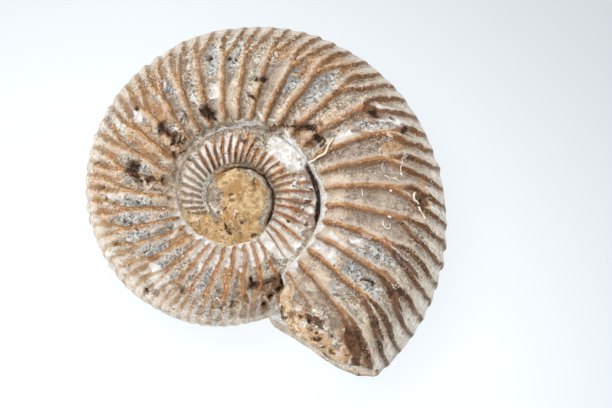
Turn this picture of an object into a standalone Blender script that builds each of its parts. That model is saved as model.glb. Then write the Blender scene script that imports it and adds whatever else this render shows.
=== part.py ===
"""A ribbed ammonite fossil, lying on its side.

The shell is a flat coil whose whorls all have one outline and grow by a fixed ratio each turn, so
that every point of its surface has two numbers: its growth angle, counted back from the aperture
in degrees, and its place round the whorl's outline, from the upper seam (1) over the outer edge,
or venter (0), to the lower seam (-1). The fossil is one solid: the last whorl, the whorl before it
where it shows in the middle, the lumps of rock that fill the centre, and the broken aperture.
"""

import bpy
import bmesh
import numpy as np
from math import radians
from mathutils import Matrix, Vector

for old in list(bpy.data.objects):
    bpy.data.objects.remove(old, do_unlink=True)

MM = 0.001

# The coil, in millimetres and degrees. Radii are given as shares of the whorl's outer radius.
DIAMETER = 48.0                 # from the venter at the aperture to the venter half a turn back
WHORL_EXPANSION = 1.98          # growth of the radius in one turn
APERTURE_DIRECTION = -60.0      # where the aperture lies round the coil, counterclockwise from +X
OUTER_RADIUS = DIAMETER / (1 + WHORL_EXPANSION ** -0.5)

# One whorl's outline: a rounded box, wider outwards than inwards
OUTLINE_CENTRE = 0.68
OUTLINE_OUTWARD = 1 - OUTLINE_CENTRE
OUTLINE_INWARD = 0.30
HALF_WIDTH = 0.285
OUTWARD_ROUNDNESS = 2.3
INWARD_ROUNDNESS = 3.0

# Main ribs of the last whorl, as growth angles at the umbilical edge. Each one forks in two.
MAIN_RIBS = [3.5, 12.5, 21.5, 31, 41, 51, 61.5, 72, 82.5, 94, 105, 116.5, 127, 137, 147, 156.5,
             168, 178, 188.5, 199, 209.5, 220, 231.5, 242, 252.5, 263, 273, 284, 294.5, 303.5,
             311.5, 320.5, 330.5, 341, 350.5, 358.5]
MAIN_RIB_HEIGHT = 0.026         # crest above interspace
FORKED_RIB_HEIGHTS = (0.020, 0.013)     # near the aperture, and in the older half of the turn
FORK_START, FORK_END = 0.50, 0.33     # places round the outline
STEEP_SIDE, GENTLE_SIDE = 0.11, 0.22  # width of a crest's two sides, in rib spacings
CREST_SHARPNESS = 1.4
BARE_SHARE = 0.35               # share of a rib's height that lies below the bare shell
UMBILICAL_EDGE = (0.86, 0.96)   # ribs fade out between these places, and the wall is smooth

# A rib swings towards the aperture on its way out, first on the flank and then near the venter.
# Each pair holds the swing in degrees near the aperture and on the older half of the whorl.
FLANK_LEAN = (1.0, 4.2)
OUTER_LEAN = (5.5, 4.0)
LEAN_CHANGES = (100, 290)       # growth angles between which the lean changes

# Ribs of the whorl before, up to where rock hides them, and the level that the rock lies at
INNER_RIBS = [369, 377, 387, 397, 406, 414, 424, 432, 440, 448, 456, 465, 473, 481, 490, 498, 506,
              514, 523, 532, 541, 551, 560, 569, 579, 588, 598, 608, 616, 626]
INNER_RIB_HEIGHT = 0.034
INNER_LEAN = 14.0               # swing in degrees over the whole outline
ROCK_START = 620.0
ROCK_UNEVENNESS = 0.02

# The broken aperture: growth angle at which the shell ends, from the upper seam to the lower one
APERTURE_PLACES = [1, 0.9, 0.8, 0.7, 0.6, 0.5, 0.4, 0.3, 0.2, 0.1, 0,
                   -0.2, -0.4, -0.6, -0.7, -0.8, -1]
APERTURE_ANGLES = [-1, -1, -2, -3, -3, -1.5, 1, 3.5, 6.5, 9.5, 10.5,
                   8, 3.2, -2.5, -7, -13.5, -16]
APERTURE_FADE = 34.0            # growth angle over which the columns of the mesh straighten
APERTURE_HOLLOW = 1.3           # depth of the broken face, and of its unevenness
APERTURE_UNEVENNESS = 0.25
ROCK_BULGE = 1.5                # how far the rock inside stands out past the shell's upper edge
VENTER_WEAR = 0.6               # the venter is worn lower near the aperture
RIM_WEAR = 0.35                 # share of their height that the ribs have lost on the venter

# Where the shell has come away from the whorl before, its seam stands further out by this much
GAP_OFFSET = 0.55
GAP_GROWTH, GAP_SPREAD = 55.0, 30.0

# Pits, hollows and broken patches: growth angle, place, width and depth in millimetres
HOLLOWS = [
    (7.5, 0.36, 3.2, 0.75), (57, 0.34, 3.0, 0.40), (90, 0.43, 2.4, 0.40), (82, 0.76, 3.0, 0.35),
    (99, 0.79, 2.0, 0.70), (105, 0.85, 2.0, 0.80), (137, 0.63, 2.4, 0.35), (149, 0.49, 1.8, 0.25),
    (160, 0.45, 2.0, 0.40), (167, 0.82, 3.0, 0.80), (198, 0.71, 3.2, 0.80), (228, 0.61, 3.6, 0.60),
    (231, 0.73, 2.0, 0.80), (243, 0.38, 1.8, 0.40), (287, 0.21, 2.0, 0.45), (303, 0.70, 3.0, 0.30),
    (342, 0.44, 2.4, 0.60), (351, 0.32, 2.4, 0.80), (357, 0.33, 3.0, 0.90), (346, 0.21, 2.0, 0.60),
    (352, 0.45, 3.0, 0.50), (336, 0.32, 3.0, 0.35),
    (40, -0.55, 3.2, 0.45), (96, -0.70, 2.8, 0.60), (152, -0.45, 3.0, 0.40), (205, -0.74, 3.4, 0.70),
    (247, -0.50, 2.6, 0.45), (318, -0.62, 3.2, 0.50), (350, -0.35, 3.0, 0.60),
]
LUMPS = [
    (88, 0.66, 3.6, 0.30), (318, 0.80, 3.6, 0.30), (340, 0.62, 2.6, 0.25), (118, 0.93, 3.0, 0.30),
    (70, -0.80, 3.4, 0.35), (180, -0.62, 3.0, 0.30), (285, -0.78, 3.6, 0.35),
]

# The rock that plugs the centre on both faces
PLUG_CENTRE = (0.65, -0.70)
UPPER_PLUG_HEIGHT = 3.15        # above the coil's middle plane
LOWER_PLUG_HEIGHT = 2.60
PLUG_FLATNESS = 2.6             # 2 is a round dome, and more is flatter with steeper sides
PLUG_RIM_START = 590.0          # growth angle from which the plug spreads over the inner whorl

# How it lies: the coil leans until it rests on three places of its lower face, each worn flat
REST_LEAN = 3.65
REST_LEAN_DIRECTION = 128.5
WORN_FLAT = 0.38                # depth of the wear
CLOSE = 0.03                    # a vertex this near the wear's level is put on it

# The mesh
COLUMNS_PER_RIB = 4
WALL_PLACES = [1.0, 0.925, 0.84, 0.74, 0.61]
VENTER_PLACES = [0.36, 0.24, 0.12, 0.0]
UPPER_PLUG_RINGS = [0.80, 0.42]
LOWER_PLUG_RINGS = [0.55]
FACE_ROWS = 5

ROCK_COLOUR = (0.46, 0.37, 0.29, 1.0)
ROCK_ROUGHNESS = 0.7


def radius(growth):
    """Outer radius of the whorl at a growth angle: a logarithmic spiral."""
    return OUTER_RADIUS * WHORL_EXPANSION ** (-np.asarray(growth, float) / 360)


def whorl_outline():
    """Half of the whorl's outline from the venter to the seam, as place, radius and height.

    The outline is a superellipse. It ends where it meets the whorl before, which has the same
    outline at a smaller scale, and places go from 0 to 1 by the length along it.
    """
    turn = np.linspace(0, np.pi, 6001)
    across, up = np.cos(turn), np.sin(turn)
    roundness = np.where(across > 0, OUTWARD_ROUNDNESS, INWARD_ROUNDNESS)
    reach = np.where(across > 0, OUTLINE_OUTWARD, OUTLINE_INWARD)
    out = OUTLINE_CENTRE + reach * np.sign(across) * np.abs(across) ** (2 / roundness)
    height = HALF_WIDTH * np.abs(up) ** (2 / roundness)

    before = out * WHORL_EXPANSION - OUTLINE_CENTRE
    reach = np.where(before > 0, OUTLINE_OUTWARD, OUTLINE_INWARD)
    roundness = np.where(before > 0, OUTWARD_ROUNDNESS, INWARD_ROUNDNESS)
    share = np.clip(np.abs(before) / reach, 0, 1)
    height_before = HALF_WIDTH / WHORL_EXPANSION * (1 - share ** roundness) ** (1 / roundness)
    seam = np.flatnonzero((height < height_before) & (out < OUTLINE_CENTRE))[0]

    length = np.concatenate([[0], np.cumsum(np.hypot(np.diff(out), np.diff(height)))])
    place = length / length[seam]
    cover = place[np.flatnonzero(out < out[seam] * WHORL_EXPANSION)[0]]
    return place[:seam + 1], out[:seam + 1], height[:seam + 1], length[seam], cover


PLACE, OUT, HEIGHT, OUTLINE_LENGTH, COVER = whorl_outline()
# COVER is the place where the next whorl's seam lies on this one


def smooth_step(low, high, value):
    """0 below low, 1 above high, and a smooth S between them."""
    share = np.clip((value - low) / (high - low), 0, 1)
    return share * share * (3 - 2 * share)


def gap_offset(growth, place):
    """How far the seam is pushed out, on both whorls: a bell curve along the seam."""
    edge = np.abs(place)
    last = growth < 360
    near_seam = np.where(last, smooth_step(0.80, 0.97, edge), smooth_step(0.80, 0.50, edge))
    along = np.where(last, growth, growth - 360) - GAP_GROWTH
    return GAP_OFFSET * np.exp(-(along / GAP_SPREAD) ** 2) * near_seam


def coil_point(growth, place):
    """Point of the bare shell, with no ribs, at a growth angle and a place round the whorl."""
    growth, place = np.broadcast_arrays(np.asarray(growth, float), np.asarray(place, float))
    scale = radius(growth)
    out = np.interp(np.abs(place), PLACE, OUT) * scale + gap_offset(growth, place)
    out = out - VENTER_WEAR * smooth_step(38, 8, growth) * smooth_step(0.45, 0.1, np.abs(place))
    direction = np.radians(APERTURE_DIRECTION + growth)
    height = np.interp(np.abs(place), PLACE, HEIGHT) * np.sign(place) * scale
    return np.stack([out * np.cos(direction), out * np.sin(direction), height], axis=-1)


def coil_normal(growth, place):
    """Outward normal of the bare shell, from the cross product of its two slopes."""
    step = 0.01
    low = np.clip(place - step, -1, 1)
    high = np.clip(place + step, -1, 1)
    along = coil_point(growth + 0.5, place) - coil_point(growth - 0.5, place)
    round_it = coil_point(growth, high) - coil_point(growth, low)
    normal = np.cross(round_it, along)
    normal /= np.linalg.norm(normal, axis=-1, keepdims=True)
    return -normal


def rib_lean(growth, place):
    """How far a rib has swung towards the aperture at a place, in degrees of growth angle."""
    edge = np.abs(place)
    older = smooth_step(*LEAN_CHANGES, growth)
    flank = FLANK_LEAN[0] + (FLANK_LEAN[1] - FLANK_LEAN[0]) * older
    outer = OUTER_LEAN[0] + (OUTER_LEAN[1] - OUTER_LEAN[0]) * older
    lean = flank * smooth_step(0.85, 0.5, edge) + outer * smooth_step(0.55, 0.15, edge)
    return -lean * smooth_step(360, 340, growth)


def crest(distance, steep, gentle):
    """A rib's profile: 1 on the crest, falling away more steeply towards the aperture."""
    width = np.where(distance < 0, steep, gentle)
    return np.exp(-(np.abs(distance) / width) ** CREST_SHARPNESS)


def outer_relief(growth, place):
    """Height of the last whorl's ribs over the bare shell: one crest that forks in two."""
    turn = np.interp(growth - rib_lean(growth, place), MAIN_RIBS, np.arange(len(MAIN_RIBS)),
                     left=-0.4, right=len(MAIN_RIBS) - 0.85)
    distance = turn - np.round(turn)
    edge = np.abs(place)
    fork = 0.25 * smooth_step(FORK_START, FORK_END, edge)
    profile = np.zeros_like(distance)
    for side in (-1, 1):
        away = distance - side * fork
        away -= np.round(away)
        profile = np.maximum(profile, crest(away, STEEP_SIDE, GENTLE_SIDE))
    older = smooth_step(*LEAN_CHANGES, growth)
    forked_height = FORKED_RIB_HEIGHTS[0] * (1 - older) + FORKED_RIB_HEIGHTS[1] * older
    height = MAIN_RIB_HEIGHT + (forked_height - MAIN_RIB_HEIGHT) * fork / 0.25
    height = height * (1 - RIM_WEAR * smooth_step(0.26, 0.10, edge))
    fade = smooth_step(UMBILICAL_EDGE[1], UMBILICAL_EDGE[0], edge)
    return (profile - BARE_SHARE) * height * fade * radius(growth)


def inner_lean(growth, place):
    """How far an inner rib has swung back at a place, in degrees of growth angle."""
    return INNER_LEAN * (place - 0.7) * smooth_step(362, 376, growth) * smooth_step(645, 622, growth)


def inner_relief(growth, place):
    """Height of the inner whorl's ribs, which stop under the rock near the centre."""
    turn = np.interp(growth - inner_lean(growth, place), INNER_RIBS, np.arange(len(INNER_RIBS)),
                     left=-0.5)
    distance = turn - np.round(turn)
    profile = crest(distance, GENTLE_SIDE, GENTLE_SIDE)
    shown = smooth_step(COVER, COVER + 0.1, place) * smooth_step(UMBILICAL_EDGE[1], 0.84, place)
    in_rock = smooth_step(ROCK_START - 7, ROCK_START + 7, growth)
    ribs = (profile - BARE_SHARE) * INNER_RIB_HEIGHT
    rock = ROCK_UNEVENNESS * (np.sin(np.radians(11 * growth)) * np.sin(9 * place) - 1)
    return (ribs * (1 - in_rock) + rock * in_rock) * shown * radius(growth)


def damage(growth, place):
    """Hollows and lumps: each a round dish or mound of its own width, in millimetres."""
    height = np.zeros(np.broadcast(growth, place).shape)
    out = np.interp(np.abs(place), PLACE, OUT)
    for spots, sign in ((HOLLOWS, -1), (LUMPS, 1)):
        for at_growth, at_place, width, size in spots:
            scale = radius(at_growth)
            along = np.radians(growth - at_growth) * out * scale
            round_it = (place - at_place) * OUTLINE_LENGTH * scale
            away = np.hypot(along, round_it) / (width / 2)
            height = height + sign * size * np.exp(-away ** 2)
    return height


def aperture_shift(growth, place):
    """How far the mesh's columns are swung so that the first one follows the broken edge."""
    shift = np.interp(-place, [-p for p in APERTURE_PLACES], APERTURE_ANGLES)
    return shift * smooth_step(APERTURE_FADE, 0, growth)


def rib_columns():
    """Growth angles of the mesh's columns: a crest, two sides and a valley for each rib."""
    ribs = np.arange(len(MAIN_RIBS))
    quarters = np.arange(0, len(MAIN_RIBS) - 1 + 0.01, 1 / COLUMNS_PER_RIB)
    columns = np.interp(quarters, ribs, MAIN_RIBS)
    return np.concatenate([[0], columns, [360]])


def snapped_columns(columns):
    """The columns of the inner whorl, moved so that each of its ribs has one on its crest."""
    turned = 360 + columns
    nearest = [int(np.argmin(np.abs(turned - rib))) for rib in INNER_RIBS]
    knots = {0: 360.0, len(columns) - 1: 720.0}
    for index, rib in zip(nearest, INNER_RIBS):
        if 2 < index < len(columns) - 3:
            knots[index] = float(rib)
    order = sorted(knots)
    return np.interp(np.arange(len(columns)), order, [knots[index] for index in order])


class Surface:
    """Vertices and faces, gathered grid by grid."""

    def __init__(self):
        self.points = []
        self.faces = []
        self.count = 0

    def add(self, points):
        """Store an array of points and give their indices in the same layout."""
        flat = np.asarray(points).reshape(-1, 3)
        self.points.append(flat)
        start = self.count
        self.count += len(flat)
        return np.arange(start, self.count).reshape(np.asarray(points).shape[:-1])

    def grid(self, index, flip=False):
        """Cover a grid of indices with triangles, leaving out those that have no area."""
        a, b = index[:-1, :-1].ravel(), index[1:, :-1].ravel()
        c, d = index[1:, 1:].ravel(), index[:-1, 1:].ravel()
        for face in np.concatenate([np.stack([a, b, c], 1), np.stack([a, c, d], 1)]):
            if len(set(face.tolist())) == 3:
                self.faces.append(tuple(face[::-1] if flip else face))


def build_last_whorl(surface, columns, places):
    """The last whorl: ribs and damage raised along the normal, joined to itself at the seam."""
    growth, place = np.meshgrid(columns, places, indexing="ij")
    growth = growth + aperture_shift(growth, place)
    # The last column is the whorl's own start, under the aperture, and meets it at both seams
    lower_end = APERTURE_ANGLES[-1] * smooth_step(0.1, -COVER, place)
    growth = growth + lower_end * smooth_step(348, 360, growth)
    lean = rib_lean(growth, place)
    growth = growth + lean * smooth_step(0, 40, columns)[:, None]
    relief = outer_relief(growth, place) + damage(growth, place)
    points = coil_point(growth, place) + coil_normal(growth, place) * relief[..., None]
    index = surface.add(points)
    wall = len(WALL_PLACES)
    index[0, 0] = index[-1, wall]
    index[0, -1] = index[-1, -1 - wall]
    surface.grid(index)
    return index


def build_inner_whorl(surface, columns, last, side):
    """The part of the whorl before that shows, from the last whorl's seam to its own seam."""
    wall = len(WALL_PLACES)
    count = len(columns)
    outer_edge = last[:, 0] if side > 0 else last[:, -1]
    own_start = last[-1, wall::-1] if side > 0 else last[-1, -1 - wall:]
    growth = np.repeat(snapped_columns(columns)[:, None], wall + 1, axis=1)
    spread = np.clip((growth[:, -1] - PLUG_RIM_START) / (720 - PLUG_RIM_START), 0, 1)
    seam_place = 1 - (1 - COVER) * spread ** 1.5
    share = (np.array([COVER] + WALL_PLACES[::-1]) - COVER) / (1 - COVER)
    place = COVER + share * (seam_place[:, None] - COVER)
    growth = growth + inner_lean(growth, place)
    if side < 0:
        fade = smooth_step(360 + APERTURE_FADE, 360, growth)
        growth = growth + APERTURE_ANGLES[-1] * fade * (1 - share)
    relief = inner_relief(growth, place)
    where = place * side
    points = coil_point(growth, where) + coil_normal(growth, where) * relief[..., None]
    index = surface.add(points)
    index[:, 0] = outer_edge
    index[0, :] = own_start
    # A turn further in, the rock's rim has spread to the last whorl's seam
    index[-1, :] = outer_edge[0]
    surface.grid(index, flip=side > 0)
    return index[:count - 1, -1]


def build_plug(surface, rim, rings, height):
    """The rock in the centre: a low dome whose rings shrink from the inner whorl to its top."""
    points = np.concatenate(surface.points)[rim]
    top = np.array([PLUG_CENTRE[0], PLUG_CENTRE[1], height])
    loop = [np.append(rim, rim[0])]
    for share in rings:
        ring = top + (points - top) * share
        ring[:, 2] = height + (points[:, 2] - height) * share ** PLUG_FLATNESS
        index = surface.add(ring)
        loop.append(np.append(index, index[0]))
    pole = surface.add(top[None, :])[0]
    loop.append(np.full(len(rim) + 1, pole))
    surface.grid(np.array(loop), flip=height > 0)


def build_aperture(surface, last, places):
    """The broken end, between the shell's edge and the whorl before: an uneven hollow, with the
    rock inside standing out past the upper edge.
    """
    wall = len(WALL_PLACES)
    outer = last[0]
    inner_count = last.shape[1] - 2 * wall
    pick = np.round(np.linspace(0, inner_count - 1, len(outer))).astype(int)
    inner = last[-1, wall + pick]
    points = np.concatenate(surface.points)
    start, end = points[outer], points[inner]
    direction = radians(APERTURE_DIRECTION)
    into_shell = np.array([-np.sin(direction), np.cos(direction), 0.0])
    middle = np.sin(np.linspace(0, np.pi, len(outer)))
    hollow = APERTURE_HOLLOW * middle * smooth_step(0.3, -0.2, places)
    bulge = ROCK_BULGE * smooth_step(0.05, 0.25, places) * smooth_step(1.0, 0.85, places)
    rows = [outer]
    for row in range(1, FACE_ROWS + 1):
        share = row / (FACE_ROWS + 1)
        uneven = APERTURE_UNEVENNESS * np.sin(5.0 * row + 2.3 * np.arange(len(outer)))
        depth = (hollow + uneven * middle) * np.sin(np.pi * share)
        depth = depth - bulge * np.exp(-((share - 0.22) / 0.16) ** 2)
        between = start + (end - start) * share + into_shell * depth[:, None]
        index = surface.add(between)
        index[0], index[-1] = outer[0], outer[-1]
        rows.append(index)
    rows.append(inner)
    surface.grid(np.array(rows), flip=True)


def build_mesh():
    """Put the whorls, plugs and aperture together, lay the coil down and wear its base flat."""
    surface = Surface()
    columns = rib_columns()
    upper = WALL_PLACES + [COVER] + VENTER_PLACES
    places = np.array(upper + [-place for place in upper[-2::-1]])
    last = build_last_whorl(surface, columns, places)
    upper_rim = build_inner_whorl(surface, columns, last, 1)
    lower_rim = build_inner_whorl(surface, columns, last, -1)
    build_plug(surface, upper_rim, UPPER_PLUG_RINGS, UPPER_PLUG_HEIGHT)
    build_plug(surface, lower_rim, LOWER_PLUG_RINGS, -LOWER_PLUG_HEIGHT)
    build_aperture(surface, last, places)

    mesh = bpy.data.meshes.new("ammonite")
    mesh.from_pydata((np.concatenate(surface.points) * MM).tolist(), [], surface.faces)
    toward = radians(REST_LEAN_DIRECTION)
    axis = Vector((-np.sin(toward), np.cos(toward), 0))
    mesh.transform(Matrix.Rotation(radians(REST_LEAN), 4, axis))

    body = bmesh.new()
    body.from_mesh(mesh)
    loose = [vertex for vertex in body.verts if not vertex.link_faces]
    bmesh.ops.delete(body, geom=loose, context="VERTS")
    lowest = min(vertex.co.z for vertex in body.verts) + WORN_FLAT * MM
    for vertex in body.verts:
        if abs(vertex.co.z - lowest) < CLOSE * MM:
            vertex.co.z = lowest
    everything = body.verts[:] + body.edges[:] + body.faces[:]
    bmesh.ops.bisect_plane(body, geom=everything, dist=1e-7, plane_co=(0, 0, lowest),
                           plane_no=(0, 0, 1), clear_inner=True)
    bmesh.ops.holes_fill(body, edges=body.edges[:], sides=0)
    bmesh.ops.triangulate(body, faces=body.faces[:])
    bmesh.ops.recalc_face_normals(body, faces=body.faces[:])
    corners = np.array([vertex.co for vertex in body.verts])
    low, high = corners.min(axis=0), corners.max(axis=0)
    home = Vector((-(low[0] + high[0]) / 2, -(low[1] + high[1]) / 2, -low[2]))
    bmesh.ops.translate(body, verts=body.verts[:], vec=home)
    body.to_mesh(mesh)
    body.free()
    return mesh


def limestone():
    """Brown and grey fossil limestone, with a dull surface."""
    material = bpy.data.materials.new("limestone")
    material.use_nodes = True
    shader = material.node_tree.nodes["Principled BSDF"]
    shader.inputs["Base Color"].default_value = ROCK_COLOUR
    shader.inputs["Roughness"].default_value = ROCK_ROUGHNESS
    shader.inputs["Metallic"].default_value = 0.0
    return material


ammonite = bpy.data.objects.new("ammonite", build_mesh())
ammonite.data.materials.append(limestone())
ammonite.data.shade_smooth()
bpy.context.scene.collection.objects.link(ammonite)
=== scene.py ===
import math
from functools import partial

import bmesh
import bpy
import numpy as np
from mathutils import Matrix, Vector


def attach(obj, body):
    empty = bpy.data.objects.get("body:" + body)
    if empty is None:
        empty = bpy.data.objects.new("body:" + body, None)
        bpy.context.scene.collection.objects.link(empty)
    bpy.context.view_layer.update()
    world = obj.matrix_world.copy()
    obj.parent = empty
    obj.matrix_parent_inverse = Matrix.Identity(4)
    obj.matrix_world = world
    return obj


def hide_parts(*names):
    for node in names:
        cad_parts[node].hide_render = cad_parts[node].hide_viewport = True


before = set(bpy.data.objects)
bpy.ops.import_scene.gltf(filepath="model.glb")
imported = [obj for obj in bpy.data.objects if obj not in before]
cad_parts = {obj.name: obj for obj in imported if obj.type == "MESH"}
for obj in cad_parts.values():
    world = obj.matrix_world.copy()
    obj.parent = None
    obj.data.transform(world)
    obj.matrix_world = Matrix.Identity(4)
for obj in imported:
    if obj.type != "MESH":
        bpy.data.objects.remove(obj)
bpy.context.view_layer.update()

# ---- The coil: how the shell grew -------------------------------------------------------------------
# A flat shell of lime, wound in whorls of one outline, each turn 1.98 times the size of the last.
# It turned to limestone long ago. Every place on it has a growth angle, counted back from the
# aperture, and a place round the outline: 1 at the upper seam, 0 on the venter, -1 at the lower.

MM = 0.001
DIAMETER = 48.0                 # across the coil at the aperture
WHORL_EXPANSION = 1.98
APERTURE_DIRECTION = -60.0
OUTER_RADIUS = DIAMETER / (1 + WHORL_EXPANSION ** -0.5)
OUTLINE_CENTRE, HALF_WIDTH = 0.68, 0.285                # in shares of the outer radius
OUTWARD_HALF = np.array([[0.32], [2.3]])                # its reach from the centre, and its roundness
INWARD_HALF = np.array([[0.3], [3.0]])
VENTER_WEAR = 0.6               # depth in mm worn off the venter near the aperture
GAP_OFFSET, GAP_GROWTH, GAP_SPREAD = 0.55, 55.0, 30.0   # where the seam stands further out, in mm


def ramp(low, high, value):
    """0 below low, 1 above high, and between them the curve 3t^2 - 2t^3."""
    share = np.clip((value - low) / (high - low), 0, 1)
    return share * share * (3 - 2 * share)


def between(start, full, fades, end, value):
    """0 outside start and end and 1 from full to fades, with the curve of a ramp at both sides."""
    return ramp(start, full, value) * ramp(end, fades, value)


def bell(value):
    """The bell curve exp(-value^2)."""
    return np.exp(-value ** 2)


def radius(growth):
    """Outer radius in mm: it shrinks by the whorl expansion in every 360 degrees of growth angle."""
    return OUTER_RADIUS * WHORL_EXPANSION ** (-growth / 360)


def whorl_outline():
    """Half of a superellipse, cut where it meets the same outline one turn smaller.

    Gives place, distance from the axis and height, all in shares of the whorl's outer radius, the
    length of the half outline, and the place that the next whorl's seam lies on.
    """
    turn = np.linspace(0, np.pi, 6001)
    across, up = np.cos(turn), np.sin(turn)
    reach, roundness = np.where(across > 0, OUTWARD_HALF, INWARD_HALF)
    out = OUTLINE_CENTRE + reach * np.sign(across) * np.abs(across) ** (2 / roundness)
    height = HALF_WIDTH * np.abs(up) ** (2 / roundness)
    before = out * WHORL_EXPANSION - OUTLINE_CENTRE
    reach, roundness = np.where(before > 0, OUTWARD_HALF, INWARD_HALF)
    share = np.clip(np.abs(before) / reach, 0, 1)
    height_before = HALF_WIDTH / WHORL_EXPANSION * (1 - share ** roundness) ** (1 / roundness)
    seam = np.flatnonzero((height < height_before) & (out < OUTLINE_CENTRE))[0]
    length = np.concatenate([[0], np.cumsum(np.hypot(np.diff(out), np.diff(height)))])
    place = length / length[seam]
    cover = place[np.flatnonzero(out < out[seam] * WHORL_EXPANSION)[0]]
    return place[:seam + 1], out[:seam + 1], height[:seam + 1], length[seam], cover


PLACE, OUT, HEIGHT, OUTLINE_LENGTH, COVER = whorl_outline()


def gap_offset(growth, place):
    """How far the seam is pushed out, on both whorls: a bell curve along the seam."""
    edge = np.abs(place)
    last = growth < 360
    near_seam = np.where(last, ramp(0.8, 0.97, edge), ramp(0.8, 0.5, edge))
    along = np.where(last, growth, growth - 360) - GAP_GROWTH
    return GAP_OFFSET * bell(along / GAP_SPREAD) * near_seam


def coil_point(growth, place):
    """Point of the bare shell in mm: the outline at that place, scaled and turned by growth."""
    scale = radius(growth)
    out = np.interp(np.abs(place), PLACE, OUT) * scale + gap_offset(growth, place)
    out -= VENTER_WEAR * ramp(38, 8, growth) * ramp(0.45, 0.1, np.abs(place))
    direction = np.radians(APERTURE_DIRECTION + growth)
    height = np.interp(np.abs(place), PLACE, HEIGHT) * np.sign(place) * scale
    return np.stack([out * np.cos(direction), out * np.sin(direction), height], axis=-1)


def coil_normal(growth, place):
    """Outward normal of the bare shell: the cross product of its slopes along and round it."""
    low, high = np.clip(place - 0.01, -1, 1), np.clip(place + 0.01, -1, 1)
    along = coil_point(growth + 0.5, place) - coil_point(growth - 0.5, place)
    normal = np.cross(along, coil_point(growth, high) - coil_point(growth, low))
    return normal / np.linalg.norm(normal, axis=-1, keepdims=True)


def noise(points, size, seed, octaves=1):
    """Smooth random heights from -1 to 1, on cubes of one size in mm, and of half that each octave.

    Each cube's corner gets a value from a whole-number hash of its place, and a point takes the
    mean of its cube's eight corners, weighted by 3t^2 - 2t^3 along each axis.
    """
    total, weight = 0.0, 0.0
    for octave in range(octaves):
        grid = points / (size / 2 ** octave) + 500.0
        cell = np.floor(grid).astype(np.int64)
        part = grid - cell
        part = part * part * (3 - 2 * part)
        value = 0.0
        for corner in np.ndindex(2, 2, 2):
            x, y, z = np.moveaxis(cell + np.array(corner), -1, 0)
            mixed = x * 374761393 + y * 668265263 + z * 1274126177 + (seed + 31 * octave) * 69069
            mixed = ((mixed ^ (mixed >> 13)) * 1103515245) & 0xFFFFFFFF
            mixed = ((mixed ^ (mixed >> 15)) * 668265263) & 0xFFFFFFFF
            level = (mixed ^ (mixed >> 16)) / 0x7FFFFFFF - 1
            value += level * np.where(np.array(corner) == 1, part, 1 - part).prod(axis=-1)
        total += value * 0.5 ** octave
        weight += 0.5 ** octave
    return total / weight * 1.6


# ---- Last whorl: main ribs that fork over the venter ------------------------------------------------
# The animal thickened its shell's edge at intervals, and each thickening stayed as a rib. The crests
# are brown, narrow and steeper towards the aperture, and the rock between them is grey and dished.

# Growth angles of the crests
MAIN_RIBS = [2.9, 12.5, 21.5, 31, 41, 51, 61.5, 72, 82.5, 94, 105, 116.5, 127, 137, 147, 156.5, 168,
             178, 188.5, 199, 209.5, 220, 231.5, 242, 252.5, 263, 273, 284, 294.5, 303.5, 311.5,
             320.5, 330.5, 341, 350.5, 358.5]
MAIN_RIB_HEIGHT = 0.027         # in shares of the outer radius, like those of the forked ribs
FORKED_RIB_HEIGHTS = (0.02, 0.013)      # near the aperture and further back, like the pairs below
FORK_START, FORK_END = 0.5, 0.33
FLANK_LEANS, OUTER_LEANS = (1.0, 4.2), (5.5, 4.0)       # in degrees of growth
AGEING = (100, 290)             # growth angles between which the pairs turn from first to second
STEEP_SHARE = 0.14              # of a rib's spacing, on the side towards the aperture
CREST_LIP, LIP_WIDTH = 0.13, 0.3        # the narrow brown crest itself, in mm
FORK_HOLLOW = 0.6               # depth in mm of the groove in front of a fork, near the aperture
RIM_WEAR = (0.7, 0.4)           # share of their height that the ribs have lost on the venter
BROKEN_FORK = (6.8, 5.2)        # growth angles between which the last fork is broken off
COLUMNS_PER_RIB = 16            # of the skin's grid


def aged(growth, *pairs):
    """Each pair's first value near the aperture, and its second on the older ribs."""
    older = ramp(*AGEING, growth)
    return [young + (old - young) * older for young, old in pairs]


def rib_lean(growth, place):
    """Swing of a rib towards the aperture: a few degrees on the flank, more near the venter."""
    edge = np.abs(place)
    flank, outer = aged(growth, FLANK_LEANS, OUTER_LEANS)
    lean = flank * ramp(0.85, 0.5, edge) + outer * ramp(0.55, 0.15, edge)
    return -lean * ramp(360, 340, growth)


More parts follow.
